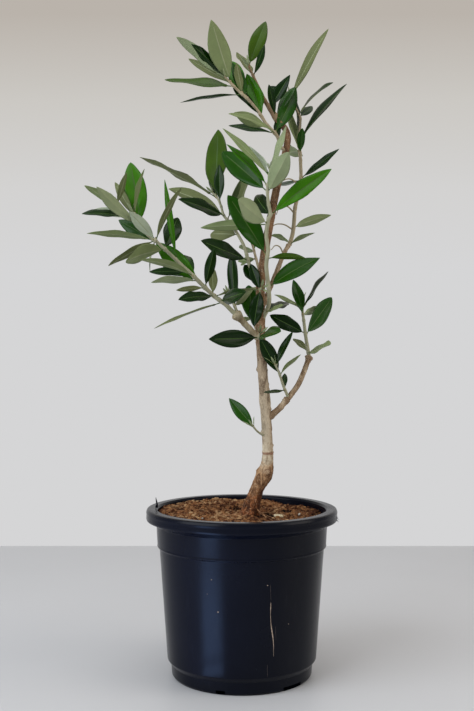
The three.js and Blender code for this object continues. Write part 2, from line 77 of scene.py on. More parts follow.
GROUND = 157.3
TRUNK = {
    "path": [
        (2, 0, 140), (14, 0, 180), (25, 1, 206), (25, 3, 245), (19, -2, 332),
        (20, -2, 398), (34, 2, 480), (46, 4, 534), (36, 4, 553),
    ],
    "foot": 6.2, "tip": 2.8, "taper": 1.2, "flare": 4.2, "flare_height": 14,
    "knots": [(198, 2.2), (272, 0.7), (357, 0.8)],
}
BOUGHS = {
    "left_bough": dict(path=[(18.5, -2, 333), (8, -6, 343), (-5, -12, 357)], foot=3.2, tip=2.9, knob=2.8),
    "right_bough": dict(path=[(24, 2, 253), (36, 4, 262), (46, 6, 273)], foot=3.4, tip=2.9, knob=0.6),
    "right_bough_end": dict(
        path=[(46, 6, 273), (57, 13, 287), (64, 19, 302), (69, 24, 315)], foot=2.8, tip=2.5, knob=1.6,
    ),
    "back_bough": dict(
        path=[(20.5, -2, 366), (29, 11, 386), (42, 20, 418), (48, 26, 430)], foot=2.6, tip=2, knob=0.5,
    ),
}
KNOB_REACH = 4
KNOT_REACH = 8
KNEE = 199  # height of the knee, whose bark is rough again
KNEE_REACH = 12
# The rings beyond a tip, as (how far beyond, share of the tip's radius). A bough's first values are
# shares of the height of its knob.
TRUNK_END = ((1.6, 0.45),)
BOUGH_END = ((0.4, 0.92), (0.8, 0.68), (1.0, 0.3))
BOUGH_SEED = 60

# ---------------------------------------------------------------- the leaf rule

ALONG_STRAY = 0.12
TURN_STRAY = 80
LEAN_STRAY = 50
TWIST_STRAY = 170
SIZE_LEAST = 0.65
SIZE_RANGE = 0.6
CURL_LEAST = -0.05
CURL_RANGE = 0.3
PLUMP_LEAST = 0.22
PLUMP_RANGE = 0.1
BLADE_ROOT = 0.08
BLADE_FOLD = 0.253
STALK = 0.65
YOUNG_LEAF = 20  # a leaf shorter than this stands on a thinner stalk


def one_leaf(leaf, spread, lift, at, seed, tone):
    """The values of one finer leaf, which stands at its own place along a flush."""
    return dict(leaf=leaf, spread=spread, lift=lift, reach=(at, at), seed=seed, tones=tone)


# Each mass of foliage grows from one limb, as a chain of flushes: stretches of stem with a few leaves
# each. A flush goes on from the one before it unless it stands apart. "tones" has a leaf for each word
# and names the colour that it shows on the side that is turned to the front.
# The tones carry painted light and shade as well as each leaf's own colour.
MASSES = {
    "top_leaves": dict(stem="brown", foot=1.9, stout=0.8, flushes=[
        dict(path=[(36, 4, 553), (23, 6, 573)], tip=1.2, leaf=58, spread=73, lift=0.16, reach=(0.16, 0.6),
             seed=563258, tones="dark- rich deep"),
        dict(path=[(13, 11, 596), (7, 10, 609)], tip=0.9, leaf=43, spread=44, lift=0.03, reach=(0.6, 1),
             seed=788396, tones="dark olive mid"),
    ]),
    "upper_left_leaves": dict(stem="tan", foot=1.6, root=(44, 3, 521), flushes=[
        dict(path=[(39, 0, 525), (35, -5, 535), (25, -8, 545)], tip=1.45, leaf=55, spread=28, lift=0,
             reach=(0.6, 1), seed=399147, tones="dark- sage- sage", finer=[
            one_leaf(leaf=30, spread=44, lift=0.25, at=0.36, seed=6868, tone="dark"),
            one_leaf(leaf=56, spread=80, lift=-0.25, at=0.63, seed=7841, tone="rich-"),
        ]),
        dict(path=[(15, -9, 560), (5, -15, 570)], tip=1.3, leaf=52, spread=27, lift=-0.15, reach=(0, 0.73),
             seed=139410, tones="deep bright+", finer=[
            one_leaf(leaf=76, spread=32, lift=-0.25, at=0.24, seed=219, tone="bright"),
        ]),
        dict(path=[(-2, -15, 576), (-8, -18, 581)], tip=1.1, leaf=67, spread=47, lift=0.02, reach=(0.28, 1),
             seed=366998, tones="bright+ dark~ mid", finer=[
            one_leaf(leaf=56, spread=20, lift=0, at=0.07, seed=2140, tone="rich"),
            one_leaf(leaf=30, spread=44, lift=0, at=0.36, seed=4779, tone="olive"),
        ]),
        dict(path=[(-12, -19, 585), (-16, -21, 589)], tip=0.8, leaf=61, spread=30, lift=0.02,
             reach=(0.36, 1), seed=697042, tones="sage+ olive- pale- deep+"),
    ]),
    "upper_right_leaves": dict(stem="tan", foot=1.9, flushes=[
        dict(path=[(49, 26, 430), (53, 30, 445), (55, 31, 469)], tip=1.7, leaf=40, spread=53, lift=-0.16,
             reach=(0.08, 0.61), seed=513241, tones="sage- sage sage-"),
        dict(path=[(61, 35, 496), (61, 36, 519)], tip=1.5, leaf=58, spread=70, lift=0, reach=(0.2, 0.95),
             seed=249476, tones="sage= dark="),
        dict(path=[(60, 39, 538), (61, 38, 563)], tip=1.2, leaf=65, spread=27, lift=-0.28,
             reach=(0.24, 0.6), seed=1117496, tones="sage rich dark deep+", finer=[
            one_leaf(leaf=30, spread=56, lift=0.25, at=0.22, seed=2305, tone="rich"),
        ]),
        dict(path=[(50, 39, 586)], tip=0.9, leaf=65, spread=58, lift=0.13, reach=(0.12, 0.97), seed=234935,
             tones="dark+ dark olive-", finer=[
            one_leaf(leaf=30, spread=32, lift=0, at=1.0, seed=10412, tone="dark"),
        ]),
    ], stalks=[
        [(60, 34, 493), (50, 30, 498.5), (42, 27, 496), (38, 26, 491)],
        [(54.5, 31, 463), (47, 28, 470), (39, 26, 469), (35.5, 25, 461)],
        [(53, 30, 446), (44, 27, 451), (36, 26, 451.5), (31.5, 25, 449)],
        [(42.5, 20.5, 420), (39, 18, 427), (34, 17, 428.5), (30, 16, 424)],
    ]),
    "front_leaves": dict(stem="green", foot=1.9, root=(19, -2, 350), flushes=[
        dict(path=[(22, -5, 356), (27, -9, 369), (26, -12, 388)], tip=1.8, leaf=59, spread=64, lift=-0.13,
             reach=(0.19, 0.9), seed=425599, tones="sage- deep+ rich+"),
        dict(path=[(24, -18, 405), (26, -17, 421)], tip=1.7, leaf=60, spread=63, lift=-0.13, reach=(0.5, 1),
             seed=148217, tones="rich+ mid-"),
        dict(path=[(24, -20, 435), (26, -22, 451)], tip=1.55, leaf=72, spread=74, lift=-0.27,
             reach=(0.6, 1), seed=131231, tones="sage= pale+"),
        dict(path=[(28, -21, 455), (26, -24, 464)], tip=1.4, leaf=71, spread=85, lift=0.48,
             reach=(0.27, 0.61), seed=197170, tones="bright- deep"),
        dict(path=[(25, -24, 474), (25, -26, 483)], tip=1.15, leaf=64, spread=45, lift=-0.05,
             reach=(0.3, 1), seed=143951, tones="rich pale+", finer=[
            one_leaf(leaf=46, spread=44, lift=-0.25, at=0.93, seed=4465, tone="bright-"),
        ]),
        dict(path=[(27, -29, 490), (27, -29, 498)], tip=0.9, leaf=53, spread=40, lift=0.09,
             reach=(0.59, 0.6), seed=62497, tones="pale- sage= silver"),
    ]),
    "middle_left_leaves": dict(stem="green", foot=1.7, root=(20, -2, 384), flushes=[
        dict(path=[(19, 2, 388), (9, 8, 405), (5, 13, 419)], tip=1.5, leaf=64, spread=54, lift=-0.23,
             reach=(0.55, 0.97), seed=234981, tones="sage dark", finer=[
            one_leaf(leaf=56, spread=44, lift=-0.25, at=0.02, seed=8163, tone="deep"),
        ]),
        dict(path=[(1, 17, 431), (-10, 24, 451)], tip=1.3, leaf=58, spread=58, lift=0.04, reach=(0.6, 0.98),
             seed=233623, tones="olive sage"),
        dict(path=[(-18, 28, 460), (-21, 29, 470)], tip=1.05, leaf=74, spread=55, lift=-0.12,
             reach=(0.09, 1), seed=297085, tones="olive- dark-", finer=[
            one_leaf(leaf=56, spread=56, lift=0.25, at=0.27, seed=1428, tone="sage"),
        ]),
        dict(path=[(-24, 28, 477), (-30, 34, 485)], tip=0.8, leaf=73, spread=32, lift=0.15,
             reach=(0.6, 0.74), seed=809010, tones="olive dark+ mid", finer=[
            one_leaf(leaf=56, spread=32, lift=0.25, at=0.27, seed=5114, tone="dark"),
        ]),
    ]),
    "left_knob_leaves": dict(stem="green", foot=1.4, flushes=[
        dict(path=[(-4, -11, 358), (-8, -5, 368), (-13, -6, 377)], tip=1, leaf=55, spread=35, lift=0.1,
             reach=(0.18, 0.66), seed=69798, tones="pale- dark"),
    ]),
    "left_spray_leaves": dict(stem="green", foot=1.9, root=(-5, -12, 357), flushes=[
        dict(path=[(-9, -12, 360), (-16, -16, 367), (-23, -20, 372)], tip=1.82, leaf=58, spread=69,
             lift=-0.06, reach=(0.57, 1), seed=202326, tones="dark- olive="),
        dict(path=[(-27, -19, 375), (-36, -25, 383)], tip=1.75, leaf=46, spread=56, lift=0.12,
             reach=(0.17, 0.95), seed=80178, tones="dark- olive-", finer=[
            one_leaf(leaf=56, spread=80, lift=-0.25, at=0.51, seed=15587, tone="olive-"),
        ]),
        dict(path=[(-46, -33, 393)], tip=1.6, leaf=49, spread=24, lift=-0.25, reach=(0, 0.6), seed=536535,
             tones="dark- olive- pale", finer=[
            one_leaf(leaf=76, spread=44, lift=-0.25, at=0.51, seed=511, tone="bright"),
        ]),
        dict(path=[(-59, -33, 405), (-74, -40, 419)], tip=1.45, leaf=70, spread=56, lift=-0.05,
             reach=(0.01, 0.6), seed=832567, tones="sage= rich+ bright~", finer=[
            one_leaf(leaf=46, spread=44, lift=0.25, at=0.25, seed=4060, tone="dark-"),
        ]),
        dict(path=[(-83, -44, 427)], tip=1.3, leaf=57, spread=68, lift=0.06, reach=(0.03, 1), seed=470574,
             tones="sage dark olive=", finer=[
            one_leaf(leaf=56, spread=32, lift=-0.25, at=1.0, seed=15564, tone="silver"),
        ]),
        dict(path=[(-84, -44, 427), (-90, -45, 432)], tip=1.15, leaf=61, spread=30, lift=0.04,
             reach=(0.27, 0.6), seed=219999, tones="pale olive= sage=", finer=[
            one_leaf(leaf=46, spread=20, lift=0.25, at=0.53, seed=3712, tone="rich"),
        ]),
        dict(path=[(-98, -44, 442), (-106, -48, 447)], tip=1, leaf=62, spread=39, lift=0.05,
             reach=(0.09, 0.92), seed=284947, tones="bright pale-"),
        dict(path=[(-113, -50, 452), (-119, -52, 460)], tip=0.7, leaf=44, spread=34, lift=-0.02,
             reach=(0.19, 0.96), seed=1175958, tones="silver dark- sage olive-"),
        dict(path=[(-94, -45, 436), (-100, -44, 446), (-104, -43, 454)], tip=0.7, leaf=49, spread=27,
             lift=-0.13, reach=(0.6, 0.98), seed=41142, tones="sage- olive-", apart=True),
    ]),
    "trunk_upper_leaves": dict(stem="green", foot=1, root=(20, -2, 371), flushes=[
        dict(path=[(19, -3, 372), (18, -12, 381), (20, -20, 383)], tip=0.8, leaf=42, spread=79, lift=0.23,
             reach=(0.1, 0.96), seed=92014, tones="deep+ deep+"),
    ]),
    "trunk_middle_leaves": dict(stem="green", foot=1, flushes=[
        dict(path=[(18, -3, 332), (17, -12, 335), (18, -18, 339)], tip=0.8, leaf=63, spread=45, lift=-0.06,
             reach=(0.23, 0.83), seed=235773, tones="deep rich+"),
    ]),
    "trunk_lower_leaf": dict(stem="green", foot=1, root=(25, 3, 236), flushes=[
        dict(path=[(20, -2, 238), (15, -7, 242), (11, -11, 247)], tip=0.7, leaf=51, spread=63, lift=0.03,
             reach=(0.6, 1), seed=83111, tones="rich"),
    ]),
    "back_upper_leaves": dict(stem="tan", foot=1.3, root=(20, -2, 398), flushes=[
        dict(path=[(17, 6, 405), (13, 27, 423), (8, 42, 446)], tip=0.9, leaf=37, spread=31, lift=-0.2,
             reach=(0.49, 1), seed=3679, tones="sage bright dark dark", finer=[
            one_leaf(leaf=22, spread=56, lift=-0.25, at=0.31, seed=2928, tone="sage"),
        ]),
    ]),
    "back_lower_leaves": dict(stem="tan", foot=1.3, root=(19, -2, 335), flushes=[
        dict(path=[(14, 8, 345), (11, 25, 355), (6, 38, 374)], tip=0.9, leaf=31, spread=39, lift=-0.32,
             reach=(0.48, 0.87), seed=52169, tones="dark olive dark dark", finer=[
            one_leaf(leaf=76, spread=44, lift=0.25, at=0.15, seed=11808, tone="rich+"),
        ]),
    ]),
    "right_leaves": dict(stem="green", foot=1.7, flushes=[
        dict(path=[(69, 24, 316), (66, 27, 335), (64, 31, 353)], tip=1.35, leaf=52, spread=61, lift=-0.18,
             reach=(0.06, 0.6), seed=253199, tones="sage olive rich+ deep+"),
        dict(path=[(62, 37, 371)], tip=1, leaf=48, spread=31, lift=-0.18, reach=(0.34, 0.63), seed=1174828,
             tones="pale rich+ sage- dark+"),
    ]),
    "right_twig_leaves": dict(stem="green", foot=1.3, flushes=[
        dict(path=[(47, 6, 274), (41, 1, 288), (37, -6, 300), (33, -9, 308)], tip=0.8, leaf=39, spread=60,
             lift=-0.14, reach=(0.25, 0.99), seed=1250215, tones="dark~ dark- sage= deep dark-", finer=[
            one_leaf(leaf=46, spread=32, lift=0.25, at=0.59, seed=5147, tone="deep"),
        ]),
    ]),
}

# ---------------------------------------------------------------- small tools

MASK = 0xFFFFFFFF


def seeded(seed):
    """The source's seeded random numbers from 0 to 1."""
    state = seed & MASK

    def draw():
        nonlocal state
        state = (state + 0x6D2B79F5) & MASK
        t = ((state ^ (state >> 15)) * (state | 1)) & MASK
        t ^= (t + (((t ^ (t >> 7)) * (t | 61)) & MASK)) & MASK
        return ((t ^ (t >> 14)) & MASK) / 4294967296

    return draw


def mix(a, b, t):
    return a + (b - a) * t


def unit(v):
    return v / np.maximum(np.linalg.norm(v, axis=-1, keepdims=True), 1e-12)


def smoothstep(value, low, high):
    t = np.clip((value - low) / (high - low), 0, 1)
    return t * t * (3 - 2 * t)


def curve_at(path, t):
    """The source's Catmull-Rom curve through a path, at an array of places t from 0 to 1."""
    points = np.asarray(path, float)
    last = len(points) - 2
    place = np.clip(np.asarray(t, float), 0, 1) * (last + 1)
    i = np.minimum(np.floor(place).astype(int), last)
    w = (place - i)[..., None]
    padded = np.vstack([2 * points[0] - points[1], points, 2 * points[-1] - points[-2]])
    before, here, there, after = (padded[i + k] for k in range(4))
    start = 0.5 * (there - before)
    end = 0.5 * (after - here)
    square = -3 * here + 3 * there - 2 * start - end
    cube = 2 * here - 2 * there + start + end
    return here + start * w + square * w**2 + cube * w**3


def tangent_at(path, t):
    step = 1e-4
    ahead = np.clip(np.asarray(t, float) + step, 0, 1)
    behind = np.clip(np.asarray(t, float) - step, 0, 1)
    return unit(curve_at(path, ahead) - curve_at(path, behind))


def frame_of(tangent):
    """Two directions square to the tangent, the first of them towards the front."""
    front = np.array([0.0, -1.0, 0.0])
    u = unit(front - tangent * np.dot(tangent, front))
    return u, np.cross(tangent, u)


def side_of(tangent, angle):
    """The direction square to the tangent that lies this far round it."""
    u, v = frame_of(tangent)
    return u * math.cos(angle) + v * math.sin(angle)


def bell(value, middle, width):
    """A smooth hill that is 1 at the middle and falls away over this width."""
    return np.exp(-(((value - middle) / width) ** 2))


def above_ground(height, reach):
    """1 at the ground, falling away with the height over it."""
    return np.exp(-np.maximum(0, height - GROUND) / reach)


def circle(sides):
    return np.arange(sides) * 2 * math.pi / sides


def spun(points, turn):
    """Points turned about the pot's axis."""
    c, s = math.cos(turn), math.sin(turn)
    return points @ np.array([[c, s, 0], [-s, c, 0], [0, 0, 1]])


def outward_at(turn):
    """The level direction that lies this far round from the front, towards the right."""
    return np.array([math.sin(turn), -math.cos(turn), 0])


def mesh_of(name, points, faces):
    """A mesh with these points, in metres."""
    mesh = bpy.data.meshes.new(name)
    mesh.from_pydata(points, [], faces)
    return mesh


def placed(name, data):
    """A new object of the scene that shows this mesh, light or camera."""
    made = bpy.data.objects.new(name, data)
    bpy.context.scene.collection.objects.link(made)
    return made


class Shells:
    """Closed shells gathered into one mesh, each with the slot of the material it takes."""

    def __init__(self):
        self.points = []
        self.faces = []
        self.slots = []
        self.count = 0

    def add(self, points, faces, slots):
        self.points.append(np.asarray(points, float))
        self.faces.extend([tuple(self.count + int(v) for v in face) for face in faces])
        self.slots.extend(slots if hasattr(slots, "__len__") else [slots] * len(faces))
        self.count += len(points)

    def piece(self, name, materials, slot, *replaced):
        mesh = mesh_of(name, (np.vstack(self.points) * MM).tolist(), self.faces)
        for material in materials:
            mesh.materials.append(material)
        mesh.polygons.foreach_set("material_index", self.slots)
        mesh.polygons.foreach_set("use_smooth", [True] * len(mesh.polygons))
        mesh.update()
        made = placed(name, mesh)
        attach(made, "root")
        if replaced:
            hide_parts(*replaced)
        return made


def loft(rings):
    """Points and faces of a closed shell from rings that turn right-handed about their line."""
    rows, size = rings.shape[:2]
    starts = np.arange(rows - 1)[:, None] * size
    a = starts + np.arange(size)
    b = starts + (np.arange(size) + 1) % size
    faces = np.stack([a, b, b + size, a + size], -1).reshape(-1, 4).tolist()
    faces.append(list(range(size))[::-1])
    faces.append(list(range((rows - 1) * size, rows * size)))
    return rings.reshape(-1, 3), faces


def tube_rings(centres, radii, sides, tangents=None):
    """Rings about a line of points, with one radius for each ring."""
    centres = np.asarray(centres, float)
    if tangents is None:
        tangents = unit(np.gradient(centres, axis=0))
    angles = circle(sides)
    u, _ = frame_of(tangents[0])
    rings = []
    for centre, tangent, radius in zip(centres, tangents, radii):
        u = unit(u - tangent * np.dot(u, tangent))
        v = np.cross(tangent, u)
        rings.append(centre + radius * (np.outer(np.cos(angles), u) + np.outer(np.sin(angles), v)))
    return np.array(rings)


def tube(centres, radii, sides, tangents=None):
    return loft(tube_rings(centres, radii, sides, tangents))


def noise_at(points, scale, stretch=(1, 1, 1), octaves=1, shift=0):
    """Perlin noise from -1 to 1 at an array of points, with features of about "scale" mm."""
    flat = np.asarray(points, float).reshape(-1, 3) / (np.array(stretch) * scale) + shift
    if octaves == 1:
        values = [noise.noise(Vector(p)) for p in flat]
    else:
        values = [noise.fractal(Vector(p), 1.0, 2.1, octaves) for p in flat]
    return np.array(values).reshape(np.asarray(points).shape[:-1])


def length_of(path):
    points = curve_at(path, np.linspace(0, 1, 200))
    return float(np.linalg.norm(np.diff(points, axis=0), axis=1).sum())


# ---------------------------------------------------------------- materials


def srgb(red, green, blue):
    """A linear colour from the three screen values that a painter would name."""
    return tuple(
        (c / 255 / 12.92) if c <= 10 else ((c / 255 + 0.055) / 1.055) ** 2.4
        for c in (red, green, blue)
    ) + (1.0,)


class Look:
    """A procedural material: a principled shader with the nodes that feed it."""

    def __init__(self, name, roughness, **fixed):
        self.made = bpy.data.materials.new(name)
        self.made.use_nodes = True
        self.tree = self.made.node_tree
        self.shader = self.tree.nodes["Principled BSDF"]
        self.shader.inputs["Roughness"].default_value = roughness
        for socket, value in fixed.items():
            self.shader.inputs[socket.replace("_", " ")].default_value = value
        self.where = self.node("ShaderNodeTexCoord").outputs["Object"]

    def feed(self, socket, value):
        """Gives a socket another node's output, or a plain value."""
        if hasattr(value, "is_linked"):
            self.tree.links.new(value, socket)
        else:
            socket.default_value = value

    def node(self, kind, **settings):
        made = self.tree.nodes.new(kind)
        for key, value in settings.items():
            socket = made.inputs.get(key.replace("_", " "))
            if socket is None:
                setattr(made, key, value)
            else:
                self.feed(socket, value)
        return made

    def scaled(self, x, y, z):
        return self.node("ShaderNodeMapping", Scale=(x, y, z), Vector=self.where).outputs["Vector"]

    def noise(self, scale, detail=3, where=None, distortion=0.0):
        return self.node(
            "ShaderNodeTexNoise", Scale=scale, Detail=detail, Roughness=0.55,
            Distortion=distortion, Vector=where or self.where,
        ).outputs["Fac"]

    def axis(self, vector, letter):
        """One part of a vector, such as its height."""
        return self.node("ShaderNodeSeparateXYZ", Vector=vector).outputs[letter]

    def share(self, value, low, high):
        """Where a value lies between low and high, from 0 to 1."""
        return self.node("ShaderNodeMapRange", Value=value, From_Min=low, From_Max=high).outputs[0]

    def ramp(self, value, *stops):
        made = self.node("ShaderNodeValToRGB", Fac=value)
        points = made.color_ramp.elements
        while len(points) < len(stops):
            points.new(0.5)
        for point, (place, colour) in zip(points, stops):
            point.position = place
            point.color = colour if hasattr(colour, "__len__") else (colour, colour, colour, 1)
        return made.outputs["Color"]

    def blend(self, factor, first, second, how="MIX"):
        made = self.node("ShaderNodeMix", data_type="RGBA", blend_type=how)
        for place, value in ((0, factor), (6, first), (7, second)):
            self.feed(made.inputs[place], value)
        return made.outputs[2]

    def both(self, first, second):
        """The product of two masks."""
        return self.blend(1.0, first, second, "MULTIPLY")

    def colour(self, value):
        self.feed(self.shader.inputs["Base Color"], value)

    def bump(self, *layers):
        """Height layers as (value, strength, depth in metres), the first of them the broadest."""
        normal = None
        for value, strength, depth in layers:
            made = self.node("ShaderNodeBump", Strength=strength, Distance=depth, Height=value)
            if normal:
                self.feed(made.inputs["Normal"], normal)
            normal = made.outputs["Normal"]
        self.feed(self.shader.inputs["Normal"], normal)


def dyed(look, base, spread, scale):
    """Colour that wanders a little darker and lighter than its base."""
    dark = tuple(c * (1 - spread) for c in base[:3]) + (1,)
    pale = tuple(min(1, c * (1 + spread)) for c in base[:3]) + (1,)
    return look.ramp(look.noise(scale), (0.3, dark), (0.7, pale))


def leaf_look(name, base, roughness, gloss, spread=0.16):
    look = Look(name, roughness, Specular_IOR_Level=gloss)
    look.colour(dyed(look, base, spread, 70))
    look.bump((look.noise(150, 1), 0.08, 0.0003))
    return look.made


# The tone of a leaf names the colour that its front side shows. Besides each leaf's own colour, the
# tones paint the light and shade that the leaf is in: within each group the paler tones paint lit leaves
# and the deeper ones shaded leaves. The first group are upper sides, and the second undersides. Each
# brings the tone of its other side.
UPPER_TONES = {
    "deep": (10, 38, 1),
    "dark": (22, 48, 12),
    "rich": (28, 70, 3),
    "mid": (54, 80, 12),
    "bright": (52, 106, 4),
}
UNDER_TONES = {
    "olive": (102, 110, 68),
    "sage": (120, 134, 88),
    "pale": (140, 152, 114),
    "silver": (166, 176, 150),
}
OTHER_SIDE = {
    "deep": "sage", "dark": "sage", "rich": "sage", "mid": "sage", "bright": "sage",
    "olive": "dark", "sage": "rich", "pale": "mid", "silver": "mid",
}


def leaf_materials():
    made = {}
    for name, colour in UPPER_TONES.items():
        made[name] = leaf_look("leaf_" + name, srgb(*colour), 0.25, 0.16, 0.12)
    for name, colour in UNDER_TONES.items():
        made[name] = leaf_look("leaf_" + name, srgb(*colour), 0.6, 0.25, 0.08)
    made["rib"] = leaf_look("leaf_rib", srgb(60, 88, 32), 0.5, 0.25)
    made["rib_pale"] = leaf_look("leaf_rib_pale", srgb(150, 158, 122), 0.6, 0.25)
    return made


def stem_look(name, base, streak):
    look = Look(name, 0.72, Specular_IOR_Level=0.3)
    fine = look.noise(260, 4, look.scaled(1, 1, 0.35))
    look.colour(look.blend(look.ramp(fine, (0.35, 0.0), (0.75, 0.8)), srgb(*base), srgb(*streak)))
    look.bump((look.noise(900, 5), 0.3, 0.0004))
    return look.made


def bark_look(name, base, dark, pale, rough_scale, depth):
    """Bark whose colour goes from its base to dark in the furrows and pale on the ridges."""
    base, dark, pale = srgb(*base), srgb(*dark), srgb(*pale)
    look = Look(name, 0.86, Specular_IOR_Level=0.2)
    broad = look.noise(70, 5, distortion=0.6)
    streaks = look.noise(rough_scale, 6, look.scaled(1, 1, 0.3), 0.8)
    specks = look.noise(1500, 3)
    wood = look.ramp(streaks, (0.32, dark), (0.52, base), (0.72, pale))
    blotched = look.blend(look.ramp(broad, (0.42, 0.0), (0.66, 0.7)), wood, dark)
    look.colour(look.blend(look.ramp(specks, (0.6, 0.0), (0.72, 0.5)), blotched, pale))
    look.bump((streaks, 0.7, depth), (look.noise(1800, 4), 0.4, depth / 3))
    return look.made


# The trunk's bark by height over the pot's underside: its ridges, and its furrows.
BARK_HEIGHTS = [
    (155, (134, 78, 44), (40, 22, 12)),
    (176, (154, 100, 62), (52, 30, 18)),
    (190, (170, 130, 94), (92, 60, 38)),
    (202, (174, 138, 102), (96, 66, 44)),
    (214, (196, 182, 158), (142, 118, 94)),
    (262, (186, 170, 146), (126, 108, 88)),
    (300, (172, 154, 130), (106, 88, 70)),
    (345, (146, 114, 84), (80, 58, 40)),
    (420, (134, 100, 72), (72, 50, 36)),
]
BARK_STRAY = 0.045  # metres by which the bark's colours wander up and down
RED_RING = 219  # height of a reddish ring round the trunk
RED_RING_HALF = 2
SWIRL = (26, -7.5, 200)  # the middle of the swirled scar of a lost shoot, on the knee
SWIRL_REACH = 5.4
# The scar's curls: shares of its reach, and how dark each is.
SWIRL_CURLS = ((0.0, 0.5), (0.1, 0.0), (0.3, 0.0), (0.42, 0.7), (0.54, 0.0), (0.74, 0.6), (0.9, 0.0))


def trunk_look():
    """The trunk's bark: orange and cracked at the foot, pale over the knee and brown further up, with painted
    shade on its right side below the knee.
    """
    look = Look("bark_trunk", 0.86, Specular_IOR_Level=0.2)
    height = look.axis(look.where, "Z")
    stray = look.node("ShaderNodeMath", operation="MULTIPLY_ADD")
    for place, value in enumerate((look.noise(85, 5, distortion=0.7), BARK_STRAY, height)):
        look.feed(stray.inputs[place], value)
    low, high = BARK_HEIGHTS[0][0], BARK_HEIGHTS[-1][0]
    up = look.share(stray.outputs[0], low * MM + BARK_STRAY / 2, high * MM + BARK_STRAY / 2)
    tones = [((h - low) / (high - low), srgb(*ridge), srgb(*crack)) for h, ridge, crack in BARK_HEIGHTS]
    ridges = look.ramp(up, *((place, ridge) for place, ridge, _ in tones))
    cracks = look.ramp(up, *((place, crack) for place, _, crack in tones))
    streaks = look.noise(230, 6, look.scaled(1, 1, 0.34), 0.8)
    wood = look.blend(look.ramp(streaks, (0.34, 0.0), (0.58, 1.0)), cracks, ridges)
    specks = look.noise(700, 4)
    flecked = look.blend(look.ramp(specks, (0.56, 0.0), (0.7, 0.45)), wood, srgb(226, 206, 176))
    low_down = look.ramp(up, (0.0, 0.85), (0.09, 0.75), (0.15, 0.0))
    split_open = look.ramp(look.noise(470, 4, look.scaled(1, 1, 0.5), 1.1), (0.45, 1.0), (0.52, 0.0))
    cracked = look.blend(look.both(low_down, split_open), flecked, srgb(58, 30, 16))
    band = look.share(height, (RED_RING - RED_RING_HALF) * MM, (RED_RING + RED_RING_HALF) * MM)
    ring = look.ramp(band, (0.0, 0.0), (0.35, 0.7), (0.65, 0.7))
    ring_end = look.ramp(band, (0.65, 1.0), (1.0, 0.0))
    ringed = look.blend(look.both(ring, ring_end), cracked, srgb(128, 78, 56))
    apart = look.node("ShaderNodeVectorMath", operation="DISTANCE")
    look.feed(apart.inputs[0], look.where)
    look.feed(apart.inputs[1], tuple(c * MM for c in SWIRL))
    curls = look.ramp(look.share(apart.outputs["Value"], 0, SWIRL_REACH * MM), *SWIRL_CURLS)
    scarred = look.blend(curls, ringed, srgb(92, 54, 32))
    # Painted shade: the side of the bark that faces right, below the knee, is darkened to a deep brown.
    facing = look.axis(look.node("ShaderNodeNewGeometry").outputs["Normal"], "X")
    right_facing = look.ramp(facing, (0.25, 0.0), (0.85, 0.8))
    painted_right_shade = look.both(right_facing, look.ramp(up, (0.12, 1.0), (0.21, 0.0)))
    look.colour(look.blend(painted_right_shade, scarred, srgb(64, 36, 22)))
    look.bump((streaks, 0.75, 0.0009), (specks, 0.5, 0.0004))
    return look.made


def pot_look():
    look = Look("pot_black", 0.24, Specular_IOR_Level=0.11)
    grime = look.noise(16, 6, distortion=0.4)
    fine = look.noise(240, 5, look.scaled(1, 1, 0.12))
    tint = look.blend(look.ramp(grime, (0.45, 0.0), (0.8, 0.35)), srgb(9, 12, 22), srgb(15, 18, 30))
    look.colour(look.blend(look.ramp(fine, (0.62, 0.0), (0.85, 0.18)), tint, srgb(44, 46, 50)))
    look.feed(look.shader.inputs["Roughness"], look.ramp(grime, (0.3, 0.18), (0.75, 0.3)))
    dents = look.noise(28, 2, look.scaled(1, 1, 0.25))
    look.bump((dents, 0.12, 0.002), (look.noise(2600, 3), 0.12, 0.0003))
    return look.made


def scuff_look(name, dark, pale):
    look = Look(name, 0.7, Specular_IOR_Level=0.4)
    look.colour(look.ramp(look.noise(900, 4), (0.35, srgb(*dark)), (0.65, srgb(*pale))))
    return look.made


def soil_look(name, dark, mid, pale, scale):
    dark, mid, pale = srgb(*dark), srgb(*mid), srgb(*pale)
    look = Look(name, 0.95, Specular_IOR_Level=0.15)
    grain = look.noise(scale, 6, distortion=0.5)
    fine = look.ramp(grain, (0.32, dark), (0.52, mid), (0.74, pale))
    patch = look.noise(34, 4, distortion=0.8)
    damp = look.blend(look.ramp(patch, (0.56, 0.0), (0.7, 0.65)), fine, dark)
    look.colour(look.blend(look.ramp(patch, (0.3, 0.5), (0.44, 0.0)), damp, pale))
    look.bump((look.noise(scale * 2.5, 5), 0.8, 0.0012))
    return look.made


# ---------------------------------------------------------------- the pot


def rounded(profile, radius):
    """The profile with each inner corner turned into a small arc of this radius."""
    points = [np.array(p, float) for p in profile]
    made = [points[0]]
    for before, here, after in zip(points, points[1:], points[2:]):
        back = before - here
        ahead = after - here
        reach = min(radius, 0.45 * np.linalg.norm(back), 0.45 * np.linalg.norm(ahead))
        start = here + unit(back) * reach
        end = here + unit(ahead) * reach
        for t in np.linspace(0, 1, 5):
            made.append((1 - t) ** 2 * start + 2 * t * (1 - t) * here + t * t * end)
    made.append(points[-1])
    return made


POT_SIDES = 168


